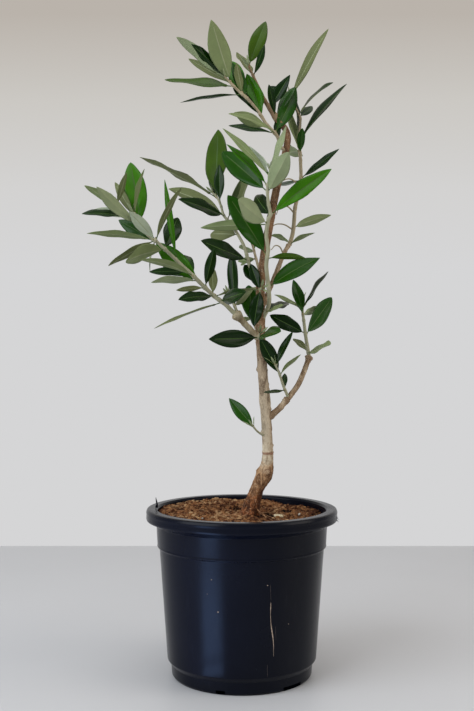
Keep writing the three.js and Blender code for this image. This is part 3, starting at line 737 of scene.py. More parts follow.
def pot_profile():
    inner = [
        (COLLAR_RADIUS, RIM_TOP - 1.8),
        (COLLAR_FOOT_RADIUS, COLLAR_FOOT + 1.5),
        (BODY_TOP_RADIUS, BODY_TOP + 1.2),
        (BODY_FOOT_RADIUS, BODY_FOOT + 1),
        (FOOT_RADIUS, FOOT_TOP + 0.7),
        (FOOT_RADIUS - 0.8, FLOOR),
    ]
    inside = [(RIM_RADIUS - 2.6, RIM_TOP), (COLLAR_RADIUS + 0.3, RIM_TOP)]
    inside += [(radius - WALL, height) for radius, height in inner]
    inside.append((20, FLOOR))
    outside = [
        (20, 0),
        (BASE_RADIUS, 0),
        (FOOT_RADIUS - 0.7, 2.3),
        (FOOT_RADIUS, FOOT_TOP),
        (BODY_FOOT_RADIUS - 0.9, BODY_FOOT - 1.2),
        (BODY_FOOT_RADIUS, BODY_FOOT + 0.2),
        (BODY_TOP_RADIUS, BODY_TOP),
        (BODY_TOP_RADIUS + 0.15, COLLAR_FOOT - 2.2),
        (COLLAR_FOOT_RADIUS - 0.6, COLLAR_FOOT - 1.5),
        (COLLAR_FOOT_RADIUS + 0.3, COLLAR_FOOT - 0.6),
        (COLLAR_FOOT_RADIUS + 0.05, COLLAR_FOOT + 1.1),
        (COLLAR_RADIUS, RIM_TOP - RIM_DROP - 5),
        (RIM_RADIUS - 3.4, RIM_TOP - RIM_DROP - 1.2),
        (RIM_RADIUS - 0.6, RIM_TOP - RIM_DROP),
        (RIM_RADIUS, RIM_TOP - RIM_DROP + 1.6),
        (RIM_RADIUS - 0.25, RIM_TOP - 5.2),
        (RIM_RADIUS, RIM_TOP - 3),
        (RIM_RADIUS - 0.9, RIM_TOP - 0.6),
    ]
    return rounded(outside + inside, 0.45)


def level_ring(radius, height, sides):
    angles = circle(sides)
    return np.stack([radius * np.cos(angles), radius * np.sin(angles), np.full(sides, height)], -1)


def lathe(profile, sides):
    """A closed shell turned about the pot's axis, its two ends closed by flat discs."""
    return loft(np.array([level_ring(radius, height, sides) for radius, height in profile]))


def cut_by(target, cutters):
    """Cuts boxes out of a piece and keeps the result as its mesh."""
    for cutter in cutters:
        cut = target.modifiers.new("cut", "BOOLEAN")
        cut.operation = "DIFFERENCE"
        cut.solver = "EXACT"
        cut.object = cutter
    bpy.context.view_layer.update()
    graph = bpy.context.evaluated_depsgraph_get()
    made = bpy.data.meshes.new_from_object(target.evaluated_get(graph))
    target.modifiers.clear()
    target.data = made
    for cutter in cutters:
        bpy.data.objects.remove(cutter)


def box_cutter(size, centre, turn):
    """A box whose shape is stored in its mesh, turned about the pot's axis."""
    corners = np.array([(x, y, z) for x in (-0.5, 0.5) for y in (-0.5, 0.5) for z in (-0.5, 0.5)])
    faces = [(0, 1, 3, 2), (4, 6, 7, 5), (0, 4, 5, 1), (2, 3, 7, 6), (0, 2, 6, 4), (1, 5, 7, 3)]
    points = spun(corners * size + centre, turn) * MM
    return placed("drain_cutter", mesh_of("drain_cutter", points.tolist(), faces))


DRAIN_WIDTHS = (9, 24, DRAIN_WIDTH, DRAIN_WIDTH, DRAIN_WIDTH)  # the front ones as they were moulded
DRAIN_STRAY = (1, -10, 0, 0, 0)  # degrees that each sits off its even place
DRAIN_SILL = 0.5  # plastic left under a mouth
DRAIN_OUTSIDE = 10  # how far the cutters reach out past the base


def make_pot(materials):
    shells = Shells()
    shells.add(*lathe(pot_profile(), POT_SIDES), 0)
    pot = shells.piece("pot_shell", materials, "pot_plastic", "pot")
    cutters = []
    for i, (width, stray) in enumerate(zip(DRAIN_WIDTHS, DRAIN_STRAY)):
        size = (width, DRAIN_DEPTH + DRAIN_OUTSIDE, DRAIN_HEIGHT - DRAIN_SILL)
        centre = (0, -BASE_RADIUS + (DRAIN_DEPTH - DRAIN_OUTSIDE) / 2, (DRAIN_HEIGHT + DRAIN_SILL) / 2)
        turn = math.radians(DRAIN_TURN + 360 / DRAINS * i + stray)
        cutters.append(box_cutter(size, centre, turn))
    cut_by(pot, cutters)
    pot.data.polygons.foreach_set("use_smooth", [True] * len(pot.data.polygons))
    pot.data.set_sharp_from_angle(angle=math.radians(40))


def body_radius(height):
    """The pot's outside radius at a height on its tapered body."""
    return mix(BODY_FOOT_RADIUS, BODY_TOP_RADIUS, (height - BODY_FOOT) / (BODY_TOP - BODY_FOOT))


SCUFF_TURN = 21  # degrees round from the front, towards the right
SCUFF_TOP = 89
SCUFF_FOOT = 37
SCUFF_ROWS = 46
# Faint upright lines near the scratch, partly wear and partly a painted warm reflection streak: degrees from
# it, foot and top.
FAINT_SCUFFS_AND_REFLECTION = ((-1.6, 90, 106), (-2.4, 18, 30), (3, 52, 66))
# Specks of dried soil: degrees round from the front, height and radius.
SPECKS = ((-20.5, 110, 0.5), (-16.5, 80, 0.75), (17, 105, 0.45), (-24, 96, 0.3), (34, 66, 0.35))
# The burr on the rim's left: how far each ring stands from its foot, and its radius.
SPIKE_FOOT = np.array([-85.6, 4, RIM_TOP - 0.6])
SPIKE = (
    ((0, 0, 0), 1.5), ((0.5, 0.2, 2.6), 1.1), ((0.1, 0.6, 5.4), 0.8), ((-0.5, 0.8, 8), 0.5),
    ((-0.7, 0.8, 10), 0.15),
)
# The threads of the burr under the rim's right: how far down each starts and how far it reaches.
THREADS_TOP = np.array([RIM_RADIUS * 0.975, -18.0, RIM_TOP - RIM_DROP + 4.5])
THREADS = ((0, 2.6), (-1.6, 3.4), (-3.0, 2.2), (-3.9, 3.0))
PLASTIC, SCUFF, FAINT = range(3)  # the marks' materials, in the order that they are handed over
SCUFF_SEED = 41


def make_scuffs(materials):
    """A thin pale scratch down the front of the pot with faint lines beside it, partly wear and partly a
    painted warm reflection streak, a few specks, and the moulding's loose burrs.
    """
    shells = Shells()
    rng = random.Random(SCUFF_SEED)
    rings = []
    for share in np.linspace(0, 1, SCUFF_ROWS):
        height = mix(SCUFF_FOOT, SCUFF_TOP, share)
        bow = 0.75 * math.sin(2.2 * math.pi * share) + 2.2 - 4.6 * share
        swell = 0.75 * bell(share, 0.93, 0.09) + 0.5 * bell(share, 0.42, 0.2)
        ends = max(0, math.sin(math.pi * share)) ** 0.5
        half = 0.04 + ends * (0.1 + swell * (0.55 + 0.45 * rng.random()))
        ring = []
        for side, lift in ((-1, 0.05), (1, 0.05), (1, -0.3), (-1, -0.3)):
            radius = body_radius(height) + lift
            turn = math.radians(SCUFF_TURN) + (bow + side * half) / radius
            ring.append(radius * outward_at(turn) + (0, 0, height))
        rings.append(ring)
    shells.add(*loft(np.array(rings)), SCUFF)
    # These faint lines also paint a thin warm reflection streak up the pot's side.
    for turn, foot, top in FAINT_SCUFFS_AND_REFLECTION:
        faint = []
        for height in np.linspace(foot, top, 12):
            out = outward_at(math.radians(SCUFF_TURN + turn + 0.4 * math.sin(height / 6)))
            faint.append(out * (body_radius(height) - 0.1) + (0, 0, height))
        shells.add(*tube(faint, [0.08] + [0.17] * 10 + [0.08], 5), FAINT)
    for turn, height, size in SPECKS:
        out = outward_at(math.radians(turn))
        centre = out * body_radius(height) + (0, 0, height)
        line = [centre - out * 0.2, centre, centre + out * 0.15]
        shells.add(*tube(line, [size, size, size * 0.3], 7), SCUFF)
    line = [SPIKE_FOOT + place for place, _ in SPIKE]
    shells.add(*tube(line, [radius for _, radius in SPIKE], 7), PLASTIC)
    for fall, reach in THREADS:
        start = THREADS_TOP + (-0.6, 0, fall)
        end = start + (reach, -0.6, -1.1)
        line = [start, mix(start, end, 0.5) + (0, 0, 0.4), end]
        shells.add(*tube(line, [0.34, 0.24, 0.07], 5), PLASTIC)
    shells.piece("pot_marks", materials, "pot_plastic")


# ---------------------------------------------------------------- the soil


def soil_level(x, y):
    """The source's surface: level under the trunk, gently heaped and uneven further out."""
    heap = SOIL_TOP + SOIL_FALL_X * x + SOIL_RISE_Y * y
    bumps = np.sin(x * 0.11 + 1.3) * np.cos(y * 0.13 - 0.4) + np.sin(x * 0.05 - y * 0.07)
    away = smoothstep(np.hypot(x, y), FOOT_PATCH + 5, FOOT_PATCH + 24)
    return mix(GROUND + 0.5, heap + SOIL_BUMP * bumps, away)


SOIL_RIM = COLLAR_RADIUS - WALL - CLEAR - 0.4
# Hollows in the soil: where each is, its half width and half length, and how deep it is.
PITS = [
    (-4, 33, 4, 9, 5), (22, 3, 7.5, 18, 7.5), (30, -12, 4, 8, 3),
    (-40, -18, 4, 4, 1.8), (46, 14, 5, 5, 1.8), (-62, 8, 4, 4, 1.6),
]


def soil_surface(x, y):
    """The surface with its clods and crumbs."""
    points = np.stack([x, y, np.zeros_like(x)], -1)
    clods = 1.5 * noise_at(points, 11, octaves=3) + 1.3 * np.abs(noise_at(points, 4.2, shift=7))
    grains = 0.45 * noise_at(points, 1.4, octaves=2, shift=3)
    for pit_x, pit_y, wide, long, deep in PITS:
        clods = clods - deep * bell(x, pit_x, wide) * bell(y, pit_y, long)
    near_wall = smoothstep(np.hypot(x, y), SOIL_RIM - 7, SOIL_RIM)
    return soil_level(x, y) + clods + grains - 0.8 * near_wall


def soil_at(x, y):
    return float(soil_surface(np.array([x], float), np.array([y], float))[0])


def make_soil(materials):
    sides, rows = 220, 84
    angles = circle(sides)
    radii = SOIL_RIM * np.linspace(0.012, 1, rows)
    x = np.outer(radii, np.cos(angles))
    y = np.outer(radii, np.sin(angles))
    top = np.stack([x, y, soil_surface(x, y)], -1)
    walls = [
        level_ring(radius - WALL - CLEAR, height, sides)
        for radius, height in (
            (FOOT_RADIUS - 0.8, FLOOR + CLEAR),
            (FOOT_RADIUS, FOOT_TOP + 0.9),
            (BODY_FOOT_RADIUS, BODY_FOOT + 1.2),
            (BODY_TOP_RADIUS, BODY_TOP + 1.4),
            (COLLAR_FOOT_RADIUS, COLLAR_FOOT + 1.7),
        )
    ]
    shells = Shells()
    shells.add(*loft(np.concatenate([walls, top[::-1]])), 0)
    shells.piece("soil_bed", materials, "soil", "soil")


def icosahedron():
    """The corners of an icosahedron, and its 20 faces: the threes of corners that are all neighbours."""
    golden = (1 + 5**0.5) / 2
    corners = []
    for a in (-1, 1):
        for b in (-golden, golden):
            corners += [(0, a, b), (a, b, 0), (b, 0, a)]
    corners = np.array(corners, float)
    faces = []
    for i, j, k in itertools.combinations(range(len(corners)), 3):
        a, b, c = corners[i], corners[j], corners[k]
        if max(np.linalg.norm(side) for side in (a - b, b - c, c - a)) < 2.1:
            outward = np.dot(np.cross(b - a, c - a), a) > 0
            faces.append((i, j, k) if outward else (i, k, j))
    return corners / np.hypot(1, golden), faces


LUMP_CORNERS, LUMP_FACES = icosahedron()


def lump(rng, size, flat):
    """The points of a rough crumb: an icosahedron with uneven corners."""
    corners = LUMP_CORNERS * np.array([[mix(0.65, 1.25, rng.random())] for _ in LUMP_CORNERS])
    corners *= np.array([mix(0.6, 1.3, rng.random()), mix(0.6, 1.3, rng.random()), flat]) * size
    return spun(corners, rng.random() * 2 * math.pi)


def scattered(rng, reach):
    """A random place in a circle of this radius, even over its area."""
    radius = reach * math.sqrt(rng.random())
    turn = rng.random() * 2 * math.pi
    return radius * math.cos(turn), radius * math.sin(turn)


CRUMBS = 2600
# Painted shade: extra very dark crumbs fill the hollows.
PIT_CRUMBS = 2.6  # in a hollow, for each square millimetre of half width by half length
FIBRES = 1500
CRUMB_SEED = 7
# The last crumb material paints the shade in the hollows.
DARK, MID, PALE, PIT_SHADE = range(4)  # the crumbs' materials, in the order that they are handed over


def make_crumbs(materials):
    """Loose crumbs of bark and peat, and coir fibres, on the soil, with very dark crumbs in the hollows that
    paint their shade.
    """
    rng = random.Random(CRUMB_SEED)
    shells = Shells()
    for _ in range(CRUMBS):
        x, y = scattered(rng, SOIL_RIM - 1.5)
        size = 0.45 + 2.1 * rng.random() ** 3
        points = lump(rng, size, mix(0.45, 0.9, rng.random())) + (x, y, soil_at(x, y) + size * 0.15)
        patch = noise.noise(Vector((x / 19, y / 30, 3.7)))
        # Painted shade: the crumbs right of the trunk are darker; a patch on the left is paler.
        patch += 0.3 * bell(x, -28, 20) * bell(y, -8, 40) - 0.12 * smoothstep(x, 5, 30)
        # Painted shade: crumbs in a hollow are dark and very dark.
        if any(math.hypot((x - at_x) / wide, (y - at_y) / long) < 1 for at_x, at_y, wide, long, _ in PITS):
            kinds = (DARK, PIT_SHADE)
        elif patch < -0.08:
            kinds = (DARK, DARK, DARK, MID)
        elif patch > 0.1:
            kinds = (MID, PALE, PALE, PALE)
        else:
            kinds = (DARK, MID, MID, PALE)
        shells.add(points, LUMP_FACES, rng.choice(kinds))
    # Painted shade: very dark crumbs heaped in each hollow.
    for at_x, at_y, wide, long, _ in PITS:
        for _ in range(int(PIT_CRUMBS * wide * long)):
            x, y = scattered(rng, 1.1)
            x, y = at_x + wide * x, at_y + long * y
            if math.hypot(x, y) > SOIL_RIM - 3:
                continue
            size = mix(0.7, 1.5, rng.random())
            points = lump(rng, size, 0.6) + (x, y, soil_at(x, y) + size * 0.1)
            shells.add(points, LUMP_FACES, PIT_SHADE)
    for _ in range(FIBRES):
        x, y = scattered(rng, SOIL_RIM - 4)
        heading = rng.random() * 2 * math.pi
        reach = mix(2, 7.5, rng.random() ** 2)
        bow = mix(-0.5, 0.5, rng.random())
        line = []
        for share in np.linspace(-0.5, 0.5, 5):
            px = x + reach * share * math.cos(heading + bow * share * 2)
            py = y + reach * share * math.sin(heading + bow * share * 2)
            line.append((px, py, soil_at(px, py) + 0.25))
        thick = mix(0.09, 0.22, rng.random())
        radii = [thick * 0.6, thick, thick, thick, thick * 0.5]
        shells.add(*tube(line, radii, 4), rng.choice((MID, PALE, PALE)))
    shells.piece("soil_crumbs", materials, "soil")


# The chip and the stones: where each lies, its size, its width over its length and its material.
CHIPS = ((36, -14, 8.5, 0.42, 0), (57, -6, 1.8, 0.8, 1), (-38, -40, 1.4, 0.6, 1))
CHIP_SEED = 12


def make_chips(materials):
    """A pale chip of bark and two small stones on the soil, all of them tilted."""
    rng = random.Random(CHIP_SEED)
    shells = Shells()
    for x, y, size, stretch, slot in CHIPS:
        points = lump(rng, 1.0, 0.18 if slot == 0 else 0.7) * (size, size * stretch, max(1.0, size * 0.5))
        points = points + np.outer(points[:, 1], (0, 0, 0.45)) + (x, y, soil_at(x, y) + 0.8)
        shells.add(points, LUMP_FACES, slot)
    shells.piece("soil_chips", materials, "soil")


# ---------------------------------------------------------------- the wood


def trunk_radius(t, z):
    flare = TRUNK["flare"] * above_ground(z, TRUNK["flare_height"])
    knots = sum(swell * bell(z, height, KNOT_REACH) for height, swell in TRUNK["knots"])
    return mix(TRUNK["foot"], TRUNK["tip"], t ** TRUNK["taper"]) + flare + knots


# Old leaf scars and nubs on the trunk: height, degrees round from the front towards the right, how
# far each stands out and how wide it is.
TRUNK_MARKS = [
    (202, -95, 1.1, 1.9), (200, 13, 1.1, 2.2), (205, 60, 0.8, 2.4), (214, -40, 0.5, 1.5),
    (227, 86, 1.3, 1.3), (234, -60, 0.5, 1.2), (240, -88, 1.5, 1.6), (243, 100, 0.6, 1.6),
    (252, -70, 0.4, 1.4), (263, 84, 1.2, 1.3), (270, -60, 0.5, 1.6), (283, 95, 0.7, 1.4),
    (288, 84, 0.9, 1.2), (303, -85, 1.6, 2.2), (308, 60, 0.6, 1.6), (318, 92, 0.9, 1.4),
    (330, -100, 0.8, 1.8), (344, 70, 0.7, 1.5), (358, -80, 0.9, 2.0), (371, 20, 0.6, 1.6),
    (385, -75, 0.8, 1.8), (398, 80, 0.6, 1.5), (415, -60, 0.5, 1.4), (436, 75, 0.5, 1.3),
    (455, -80, 0.4, 1.2), (478, 60, 0.4, 1.2), (502, -70, 0.4, 1.1), (523, 40, 0.4, 1.0),
]
RING_MARKS = [(220, 0.45), (245, 0.3), (303, 0.45), (357, 0.4), (398, 0.3), (455, 0.25), (502, 0.2)]
ROUGH_FOOT = 26  # the rough bark fades out over this height above the ground


def bark_relief(points, angles, heights, radius, marks, rings, foot):
    """How far the bark stands out of the even limb at each point."""
    relief = 0.26 * noise_at(points, 7.5, octaves=2) + 0.2 * noise_at(points, 1.5, (1, 1, 4.5), 3)
    relief += 0.12 * noise_at(points, 1.1, octaves=2, shift=5)
    flakes = np.abs(noise_at(points, 3.4, (1, 1, 2.2), 2, shift=11))
    gullies = np.abs(noise_at(points, 2.1, (1, 1, 1.5), 2, shift=31))
    relief += foot * (1.9 * flakes + 1.2 * gullies - 0.7)
    for height, turn, out, wide in marks:
        apart = (angles - math.radians(turn) + math.pi) % (2 * math.pi) - math.pi
        relief += out * bell(heights, height, wide) * bell(apart * radius, 0, wide * 1.25)
    for height, out in rings:
        relief += out * bell(heights - 0.8 * np.sin(angles * 2 + height), height, 0.75)
    return relief


def limb_rings(path, places, radii, sides, level=None):
    """The even rings of a limb. Near "level" they turn flat, for the cut at the ground."""
    centres = curve_at(path, places)
    tangents = tangent_at(path, places)
    if level is not None:
        up = smoothstep(centres[:, 2], level, level + 12)[:, None]
        tangents = unit(tangents * up + np.array([0, 0, 1.0]) * (1 - up))
    return centres, tangents, tube_rings(centres, radii, sides, tangents)


def capped(rings, tip, tangent, radius, ends):
    """The rings of a limb with more beyond its tip, as (how far on, share of the radius)."""
    sides = rings.shape[1]
    more = [tube_rings([tip + tangent * on], [radius * share], sides, [tangent]) for on, share in ends]
    return np.concatenate([rings, *more])


def make_trunk(materials):
    sides, rows = 84, 520
    dense = np.linspace(0, 1, 4000)
    start = dense[np.argmax(curve_at(TRUNK["path"], dense)[:, 2] >= GROUND)]
    places = np.linspace(start, 1, rows)
    radii = trunk_radius(places, curve_at(TRUNK["path"], places)[:, 2])
    centres, tangents, rings = limb_rings(TRUNK["path"], places, radii, sides, GROUND)
    angles = circle(sides)
    heights = rings[..., 2]
    radius = radii[:, None]
    foot = above_ground(heights, ROUGH_FOOT) + 0.45 * bell(heights, KNEE, KNEE_REACH)
    relief = bark_relief(rings, angles, heights, radius, TRUNK_MARKS, RING_MARKS, foot)
    relief = relief * np.clip(radius / 6, 0.35, 1)
    buttress = 0.13 * np.cos(3 * angles + 0.6) + 0.07 * np.cos(5 * angles - 1)
    relief = relief + radius * buttress * above_ground(heights, 8)
    rings = rings + unit(rings - centres[:, None]) * relief[..., None]
    rings[0, :, 2] = GROUND
    shells = Shells()
    shells.add(*loft(capped(rings, centres[-1], tangents[-1], radii[-1], TRUNK_END)), 0)
    shells.piece("trunk_bark", materials, "bark", "trunk")


def make_boughs(materials):
    sides = 44
    for index, (name, bough) in enumerate(BOUGHS.items()):
        length = length_of(bough["path"])
        places = np.linspace(0, 1, int(length / 0.6))
        from_end = (1 - places) * length
        knob = bough["knob"] * bell(from_end, 0, KNOB_REACH)
        radii = mix(bough["foot"], bough["tip"], places) + knob
        if name != "right_bough_end":
            radii = radii + 0.8 * bell(places * length, 5.5, 3.5)
        centres, tangents, rings = limb_rings(bough["path"], places, radii, sides)
        rng = random.Random(BOUGH_SEED + index)
        marks = []
        for start in range(4, 4 + 7 * int(length / 7), 7):
            out = mix(0.35, 0.8, rng.random())
            marks.append((start + 3 * rng.random(), rng.random() * 360, out, mix(0.9, 1.6, rng.random())))
        joints = [(length * share, 0.3) for share in (0.35, 0.7)]
        foot = 0.25 + 0.5 * bell(from_end, 0, 5)[:, None]
        along = (places * length)[:, None]
        relief = bark_relief(rings, circle(sides), along, radii[:, None], marks, joints, foot) * 0.62
        lumps = 0.5 * noise_at(rings, 3.2, shift=21) * (knob / max(bough["knob"], 1))[:, None]
        rings = rings + unit(rings - centres[:, None]) * (relief + lumps)[..., None]
        ends = [(bough["knob"] * reach, share) for reach, share in BOUGH_END]
        rings = capped(rings, centres[-1], tangents[-1], radii[-1], ends)
        shells = Shells()
        shells.add(*loft(rings), 1 if name == "left_bough" else 0)
        shells.piece(name + "_bark", materials, "bark", name)


# The roots that show: the line of each over the soil, its thickness, and how high it leaves the trunk.
SURFACE_ROOTS = (
    (((14, -4), (19, -14), (24, -25), (29, -37), (32, -43)), 0.5, 7),
    (((14, -3), (21, -10), (29, -20), (38, -31)), 0.4, 6),
    (((15, -1), (22, -16), (26, -30)), 0.35, 4),
    (((4, -3), (-5, -7), (-14, -9), (-24, -8)), 1.7, 0),
    (((7, -6), (1, -14), (-6, -19), (-16, -22)), 1.4, 0),
    (((14, 3), (24, 8), (35, 10)), 0.8, 2),
)
ROOT_ROWS = 30


def make_surface_roots(materials):
    """Thin roots that run over the soil from the trunk's foot."""
    shells = Shells()
    shares = np.linspace(0, 1, ROOT_ROWS)
    for line, thick, rise in SURFACE_ROOTS:
        flat = curve_at([(x, y, 0) for x, y in line], shares)
        flat = flat + np.stack([noise_at(flat, 6), noise_at(flat, 6, shift=4), np.zeros(ROOT_ROWS)], -1)
        height = soil_surface(flat[:, 0], flat[:, 1]) + thick * 0.2
        bridge = GROUND + 0.5 + rise * (1 - shares) ** 2
        flat[:, 2] = np.convolve(np.pad(np.maximum(height, bridge), 2, "edge"), np.ones(5) / 5, "valid")
        shells.add(*tube(flat, np.linspace(thick, thick * 0.45, ROOT_ROWS), 8), 0)
    shells.piece("surface_roots", materials, "bark")


# ---------------------------------------------------------------- foliage


def leaves_of(flush, path, foot):
    """The leaves of one flush, as in the source: where each starts, points and how it is turned."""
    draw = seeded(flush["seed"])
    roll = 360 * draw()
    count = len(flush["tones"].split())
    pairs = -(-count // 2)
    leaves = []
    for index in range(count):
        pair, side = divmod(index, 2)
        along, turn, lean, size, twist, curl, plump = [draw() for _ in range(7)]
        middle = 0.5 if pairs == 1 else pair / (pairs - 1)
        t = min(1, max(0.02, mix(*flush["reach"], middle) + ALONG_STRAY * (along - 0.5)))
        around = math.radians(roll + 90 * pair + 180 * side + TURN_STRAY * (turn - 0.5))
        spread = math.radians(flush["spread"] + LEAN_STRAY * (lean - 0.5))
        turned = math.radians(TWIST_STRAY * (twist - 0.5))
        length = flush["leaf"] * (SIZE_LEAST + SIZE_RANGE * size)
        tangent = tangent_at(path, t)
        outward = side_of(tangent, around)
        way = tangent * math.cos(spread) + outward * math.sin(spread)
        way = unit(way + (0, 0, flush["lift"]))
        upper = tangent * 0.5 + (0, 0, 1.0)
        upper = unit(upper - way * np.dot(upper, way))
        stem = curve_at(path, t)
        radius = mix(foot, flush["tip"], t)
        leaves.append({
            "base": stem + outward * 0.4 * radius,
            "way": way,
            "upper": upper * math.cos(turned) + np.cross(way, upper) * math.sin(turned),
            "length": length,
            "width": length * (PLUMP_LEAST + PLUMP_RANGE * plump),
            "curl": CURL_LEAST + CURL_RANGE * curl,
            "outward": outward,
            "stem": stem,
            "radius": radius,
        })
    return leaves


BLADE_ROWS = np.array([
    0, 0.03, 0.06, 0.085, 0.11, 0.15, 0.21, 0.28, 0.36, 0.44,
    0.52, 0.6, 0.68, 0.76, 0.83, 0.89, 0.94, 0.975, 1.0,
])
BLADE_COLUMNS = np.array([-1, -0.84, -0.58, -0.3, -0.05, 0, 0.05, 0.3, 0.58, 0.84, 1])
BLADE_THICK = 0.5
# A mark after a leaf's tone makes the leaf wider or narrower.
WIDE = {"+": 1.25, "-": 0.78, "=": 0.58, "~": 0.34}


def blade(shells, leaf, tone, slots, rng):
    """One olive leaf as a closed shell: a round stalk that widens into a narrow blade with a sunk
    rib above, a raised rib below, margins that roll under, and a slight wave, twist and bow."""
    way, upper, length = leaf["way"], leaf["upper"], leaf["length"]
    wide = leaf["width"] * WIDE.get(tone[-1], 1)
    tone = tone.rstrip("".join(WIDE))
    across = unit(np.cross(way, upper))
    along, sideways = BLADE_ROWS, BLADE_COLUMNS
    share = np.clip((along - BLADE_ROOT) / (1 - BLADE_ROOT), 0, 1)
    shape = np.sin(np.pi * share**mix(0.9, 1.06, rng.random())) ** mix(0.68, 0.82, rng.random())
    half = np.maximum(shape * wide / 2, np.where(along < 0.5, STALK * 0.85, 0.16))
    if length < YOUNG_LEAF:
        half = np.where(along < 0.1, np.minimum(half, STALK * 0.5), half)
    flat = smoothstep(along, 0.05, 0.16)[:, None]
    bow = mix(-0.05, 0.05, rng.random()) * length
    twist = math.radians(mix(-16, 16, rng.random()))
    wave = mix(0.05, 0.16, rng.random())
    beats = mix(1.2, 2.6, rng.random())
    phase = [rng.random() * 6.3, rng.random() * 6.3]
    centres = (
        leaf["base"]
        + np.outer(along * length, way)
        - np.outer(leaf["curl"] * length * along * along, upper)
        + np.outer(bow * along * along * (1 - 0.4 * along), across)
    )
    bend = unit(upper + np.outer(2 * leaf["curl"] * along, way))
    turned = (twist * (along - 0.35))[:, None]
    side = across * np.cos(turned) + bend * np.sin(turned)
    lift = bend * np.cos(turned) - across * np.sin(turned)
    width = np.outer(half, sideways)
    half = half[:, None]
    fold = BLADE_FOLD * half * np.abs(sideways) ** 1.25
    roll = 0.11 * half * smoothstep(np.abs(sideways), 0.68, 1.0)
    ripple = np.stack([np.sin(2 * np.pi * beats * along + phase[int(share > 0)]) for share in sideways], 1)
    rise = (fold - roll + ripple * wave * half * sideways**2) * flat
    lens = np.sqrt(np.clip(1 - np.abs(sideways) ** 2.2, 0, 1))
    round_stalk = half * np.sqrt(np.clip(1 - sideways**2, 0, 1))
    body = mix(round_stalk, 0.5 * BLADE_THICK * lens * np.minimum(1, half / 1.5), flat)
    rib = bell(width, 0, 0.55) * (1 - 0.75 * along)[:, None] * flat * min(1, wide / 9)
    top = rise + body - 0.28 * rib
    under = rise - body - 0.42 * rib
    middles = centres[:, None] + side[:, None] * width[..., None]
    up_points = middles + lift[:, None] * top[..., None]
    down_points = middles + lift[:, None] * under[..., None]
    # the ring runs along the upper side from one margin to the other, and back along the underside
    rings = np.concatenate([up_points[:, ::-1], down_points[:, 1:-1]], 1)
    points, faces = loft(rings)
    front_is_upper = np.dot(upper + way * leaf["curl"], (0, -1.0, 0.08)) > 0
    upper_tone, under_tone = (tone, OTHER_SIDE[tone]) if front_is_upper else (OTHER_SIDE[tone], tone)
    last, across_top = len(along) - 1, len(sideways) - 1
    middle = (across_top // 2 - 1, across_top // 2)
    places = [divmod(index, rings.shape[1]) for index in range(last * rings.shape[1])]
    kinds = []
    for row, column in places + [(0, 0), (last - 1, 0)]:
        kind = upper_tone if column < across_top else under_tone
        if row < 3:
            kind = "rib"
        elif column % across_top in middle and row < last - 3:
            kind = "rib_pale" if kind in UNDER_TONES else "rib"
        kinds.append(slots[kind])
    shells.add(points, faces, kinds)


def bud(shells, base, way, size):
    """A small pointed bud of two scales."""
    shares = np.array([-0.15, 0.12, 0.4, 0.7, 0.92, 1.0])
    radii = size * 0.36 * np.array([0.5, 0.95, 1.0, 0.68, 0.3, 0.08])
    line = base + np.outer(shares * size, way)
    shells.add(*tube(line, radii, 7, np.tile(way, (len(shares), 1))), list(STEMS).index("bud"))


def chains_of(mass):
    """The flushes that go on from each other, as lists of each flush with its path and foot radius."""
    chains = []
    for index, flush in enumerate(mass["flushes"]):
        if index == 0 or "apart" in flush:
            chains.append([(flush, flush["path"], mass["foot"])])
        else:
            before = mass["flushes"][index - 1]
            chains[-1].append((flush, [before["path"][-1]] + flush["path"], before["tip"]))
    return chains


# The stems' tones: the colour of each, and of its streaks.
STEMS = {
    "green": ((148, 148, 120), (176, 172, 146)),
    "tan": ((152, 138, 110), (180, 168, 142)),
    "bud": ((132, 116, 80), (160, 150, 110)),
    "brown": ((118, 92, 66), (150, 128, 98)),
}
STEM_SWELL = 1.15  # bark and hairs on the stem, over the source's bare wood
STEM_STEP = 1.1


def stem_of(mass, chain, first):
    """The line and the radii of a chain's stem, with a swelling wherever a flush ends."""
    points, radii, ends = [], [], []
    for index, (flush, path, foot) in enumerate(chain):
        steps = max(4, int(length_of(path) / STEM_STEP))
        places = np.linspace(0, 1, steps + 1)[(1 if index else 0):]
        points.append(curve_at(path, places))
        radii.append(mix(foot, flush["tip"], places))
        ends.append(sum(len(p) for p in points) - 1)
    points, radii = np.vstack(points), np.concatenate(radii)
    if first and "root" in mass:
        root = np.array(mass["root"], float)
        steps = max(3, int(np.linalg.norm(points[0] - root) / STEM_STEP))
        lead = root + np.outer(np.linspace(0, 1, steps, endpoint=False), points[0] - root)
        points, radii = np.vstack([lead, points]), np.concatenate([np.full(steps, mass["foot"]), radii])
        ends = [end + steps for end in ends]
    soft = points.copy()
    for _ in range(3):
        soft[1:-1] = 0.25 * soft[:-2] + 0.5 * soft[1:-1] + 0.25 * soft[2:]
    for end in ends[:-1]:
        radii = radii + 0.28 * bell((np.arange(len(soft)) - end) * STEM_STEP, 0, 1.3)
    stout = mass.get("stout", 0) if first else 0
    return soft, radii * (STEM_SWELL + stout * np.linspace(1, 0, len(soft)) ** 1.2)


NAME_SEED = 131


